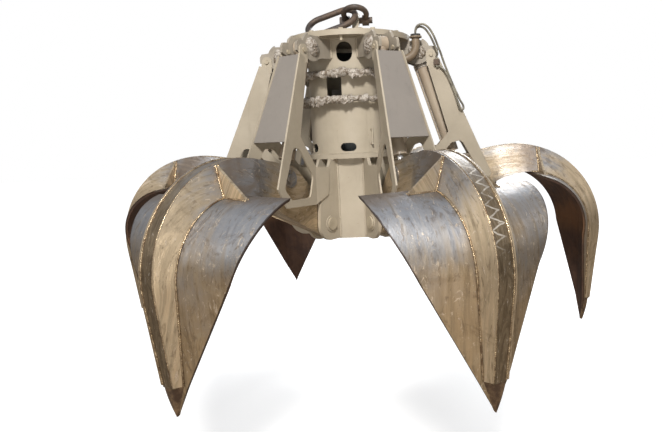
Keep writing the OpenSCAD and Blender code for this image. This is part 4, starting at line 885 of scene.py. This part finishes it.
def reach_half(s, d):
    """Half width at which the face d inside the line meets its sector's edge plane when closed."""
    m = -ray(s[:, 2])
    per = m[:, 0] * math.cos(SWING) + m[:, 1] * math.sin(SWING)
    x, z = s[:, 0] - HINGE[0], s[:, 1] - HINGE[1]
    flat = HINGE[0] + x * math.cos(SWING) + z * math.sin(SWING)
    k, f = math.tan(math.pi / 6), np.tan(np.radians(s[:, 3]))
    y = (k * (flat + per * (d - s[:, 4] * f)) - SECTOR_GAP) / (1 - k * per * f)
    return np.maximum(y, np.minimum(s[:, 4], BELLY_END_HALF))


stations = smooth_path(station_table(), FINE)
ACROSS = 15


def shell_face(d):
    """Grid of one face of the shell, d inside the line: y runs edge to edge, and the plate sinks by
    (|y| - joint) tan(fold) beyond the arm."""
    s = stations
    half = reach_half(s, d)
    joint = np.minimum(s[:, 4], half)
    f = np.r_[np.linspace(0, 1, 4), 1 + np.linspace(0, 1, ACROSS)[1:]]
    f = np.r_[-f[:0:-1], f][None, :]
    a = np.abs(f)
    beyond = joint[:, None] + (a - 1) * (half - joint)[:, None]
    y = np.where(a <= 1, a * joint[:, None], beyond) * np.sign(f)
    out = np.maximum(np.abs(y) - s[:, 4:5], 0)
    depth = np.broadcast_to(np.asarray(d, float).reshape(-1, 1), y.shape)
    sink = depth + out * np.tan(np.radians(s[:, 3:4]))
    n = ray(s[:, 2])
    x, z = s[:, 0:1] - sink * n[:, 0:1], s[:, 1:2] - sink * n[:, 1:2]
    return np.stack([x, y, z], 2), out / np.maximum(half - joint, 0.01)[:, None], y


outer_face, outer_edge, outer_y = shell_face(SKIN)
inner_face, inner_edge, inner_y = shell_face(stations[:, 5])
length = np.r_[0, np.cumsum(np.linalg.norm(np.diff(stations[:, :2], axis=0), axis=1))]
drop_share = (length / length[-1])[:, None]
shell_ring = np.concatenate([outer_face, inner_face[:, ::-1]], 1)
shell_marks = {
    "down": np.broadcast_to(drop_share, shell_ring.shape[:2]),
    "edge": np.concatenate([outer_edge, inner_edge[:, ::-1]], 1),
    "inside": np.concatenate([np.zeros_like(outer_edge), np.ones_like(inner_edge)], 1),
}
shell_uv = np.stack([np.broadcast_to(length[:, None], shell_ring.shape[:2]),
                     np.concatenate([outer_y, inner_y[:, ::-1]], 1)], 2)
crown = ALONG[ARM_N * FINE]
past_crown = (ALONG - crown) / (ALONG[-1] - crown)
arm_share = np.where(ALONG < crown, 0.55 * (1 - ALONG / crown), past_crown)

# Gussets. Two triangular plates on each arm, from the edge of its back down to the shell, with a
# weld bead on both sides of both feet.
GUSSET_REACH, GUSSET_HALF_T = 0.320, 0.008
BEAD_PLACES, BEAD_LIFT = (-0.011, 0.011), (0, 0.003, 0)


def gusset_grid(side):
    """Rings of a gusset and the paths of its beads. Of its corners, face is at the arm's back edge,
    foot and near are at the arm's lower edge, and out is on the shell."""
    i, j = (ARM_N + 1) * FINE, FINE
    face = arm_point(DEPTH - RECESS, arm_width(DEPTH - RECESS) - SUNK)[i]
    foot = arm_point(SUNK, BELLY_W - SUNK)[i]
    s = stations[j]
    n = ray(s[2])
    sink = SKIN + (GUSSET_REACH - s[4]) * math.tan(math.radians(s[3]))
    out = np.array([s[0] - sink * n[0], GUSSET_REACH, s[1] - sink * n[1]])
    near = np.array([s[0], s[4], s[1]])
    corners = np.array([face, foot, near, out, out + (face - out) * 0.06])
    run = np.array([math.sin(math.radians(s[2])), 0, -math.cos(math.radians(s[2]))])
    plate = np.stack([corners - run * GUSSET_HALF_T, corners + run * GUSSET_HALF_T], 0)
    beads = [np.linspace(near + run * t, out + run * t, 50) for t in BEAD_PLACES]
    beads += [np.linspace(face + run * t + BEAD_LIFT, near + run * t + BEAD_LIFT, 40)
              for t in BEAD_PLACES]
    flip = np.array([1, side, 1])
    return plate * flip, [b * flip for b in beads]


def ring_run(grid):
    """Distance along each ring of a grid, for its UV map."""
    step = np.linalg.norm(np.roll(grid, -1, 1) - grid, axis=2)
    return np.cumsum(step, 1) - step


# Weld beads of the tines. Bare weld metal, golden from heat and brown with lacquer, laid along
# the arm's four edges and round the gussets.
TINE_BEAD_R = 0.0062
bead_gold = Finish("weld_bead", (0.34, 0.25, 0.15), 0.3, 0.85)
heat = bead_gold.noise(26.0, 5.0, 0.7)
burnt = bead_gold.ramp(heat, 0.36, 0.66)
bead_gold.color(bead_gold.blend(burnt, (0.46, 0.36, 0.235), (0.13, 0.085, 0.05)))
bead_gold.gloss(bead_gold.ramp(heat, 0.3, 0.7, 0.2, 0.5))
bead_gold.height(bead_gold.noise(140.0, 4.0), 0.0015, 0.6)

# Points of the tines. Solid forged teeth welded into the arm's blunt end, dark and brown.
# Each narrows from the arm's width to its tip, with a ridge down the middle.
TOOTH_HALF, TOOTH_DEPTH, TOOTH_END_DEPTH = 0.080, 0.044, 0.012
RIDGE = ((-1, 0), (1, 0), (0.62, 0.82), (0, 1), (-0.62, 0.82))
tooth_steel = Finish("tooth_steel", (0.20, 0.14, 0.09), 0.45, 0.7)
char = tooth_steel.noise(14.0, 6.0, 0.68)
charred = tooth_steel.ramp(char, 0.36, 0.68)
tooth_steel.color(tooth_steel.blend(charred, (0.10, 0.065, 0.045), (0.32, 0.22, 0.13)))
tooth_steel.gloss(tooth_steel.ramp(char, 0.3, 0.7, 0.35, 0.62))
tooth_steel.height(tooth_steel.noise(40.0, 5.0), 0.002, 0.6)


def tooth_grid():
    """The point below the arm: rings from the arm's end to the tip, whose half width falls evenly
    and whose depth falls with the square of the way, shaped by the shares of width and depth."""
    t = np.linspace(0, 1, 14)[:, None]
    p = belly_end + t * (TIP - belly_end)
    j = TOOTH_HALF + t * (TIP_HALF - TOOTH_HALF)
    d = TOOTH_DEPTH + t * t * (TOOTH_END_DEPTH - TOOTH_DEPTH)
    rings = []
    for dy, dd in RIDGE:
        q = p + ray(BELLY_LAST) * d * dd
        rings.append(np.concatenate([q[:, :1], j * dy, np.maximum(q[:, 1:], 0)], 1))
    return np.stack(rings, 1)


# The six tines. Arm, shell, point and beads of the first sector, each turned to its own sector and
# riding on its own tine. Hub and ears are turned bosses welded in: radii, then places across.
HUB = ([0.0955, 0.0985, 0.0985, 0.0955], [-0.038, -0.035, 0.035, 0.038])
EARS = (([0.062, 0.062, 0.059], (0.0458, 0.069, 0.0718)),
        ([0.034, 0.034, 0.031], (0.0618, 0.079, 0.0818)))
SMALL_PART_DOWN = [0.9, 0.1, 0.35, 0.35] + [0.1] * 4
OUT_OF_REACH = 9.0
for k in range(6):
    channel, back, plug = channel_grid(), back_plate_grid(), end_plate_grid()
    hub = disc_bar(*HINGE, *HUB)
    left, left_beads = gusset_grid(-1)
    right, right_beads = gusset_grid(1)
    parts = [channel, back, plug, hub, left, right]
    for side in (-1, 1):
        parts += [disc_bar(*ROD_PIN, radii, [side * y for y in places]) for radii, places in EARS]
    shapes = [g.shape[:2] for g in parts]
    back_share = np.r_[arm_share[BACK_FROM:], 1.0]
    back_along = np.r_[ALONG[BACK_FROM:], ALONG[-1] + OVERHANG]
    downs = [np.broadcast_to(v[:, None], n) for v, n in zip((arm_share, back_share), shapes)]
    downs += [np.full(n, v) for n, v in zip(shapes[2:], SMALL_PART_DOWN)]
    along = [np.broadcast_to(v[:, None], n) for v, n in zip((ALONG, back_along), shapes)]
    along += [g[..., 0] for g in parts[2:]]
    uvs = [np.stack([a, ring_run(g)], 2) for a, g in zip(along, parts)]
    aside = OUT_OF_REACH * (k != GROUND_TINE)
    marks = {
        "down": downs,
        "back": [np.full(n, float(g is back)) for g, n in zip(parts, shapes)],
        "across": [np.broadcast_to(np.sign(np.arange(n[1]) - 1.5) + aside, n) for n in shapes],
        "metre": along,
        "heat": [np.full(n, float(g is left or g is right)) for g, n in zip(parts, shapes)],
    }
    beam = surface(f"box_arm_{k + 1}", [turned(g, k) for g in parts], uv=uvs, marks=marks, sharp=35)
    outward(beam)
    dress(beam, beam_steel)
    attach(beam, f"tine_{k + 1}")
    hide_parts(f"tine_beam_{k + 1}")

    cup = outward(surface(f"cupped_shell_{k + 1}", turned(shell_ring, k), uv=[shell_uv], sharp=50,
                          marks={key: [v] for key, v in shell_marks.items()}))
    dress(cup, shell_steel)
    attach(cup, f"tine_{k + 1}")
    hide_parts(f"tine_shell_{k + 1}")

    tooth = outward(surface(f"tooth_{k + 1}", turned(tooth_grid(), k), sharp=30))
    dress(tooth, tooth_steel)
    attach(tooth, f"tine_{k + 1}")
    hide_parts(f"tine_tip_{k + 1}")

    beads = left_beads + right_beads
    d = DEPTH - RECESS
    for side in (-1, 1):
        beads.append(arm_point(SUNK, side * (BELLY_W + 0.002))[ARM_N * FINE:])
        beads.append(arm_point(d, side * (arm_width(d) - WALL + 0.001))[BACK_FROM:])
    runs = [turned(bead_points(b, TINE_BEAD_R), k) for b in beads]
    trail = outward(surface(f"tine_beads_{k + 1}", runs, sharp=70))
    dress(trail, bead_gold)
    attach(trail, f"tine_{k + 1}")
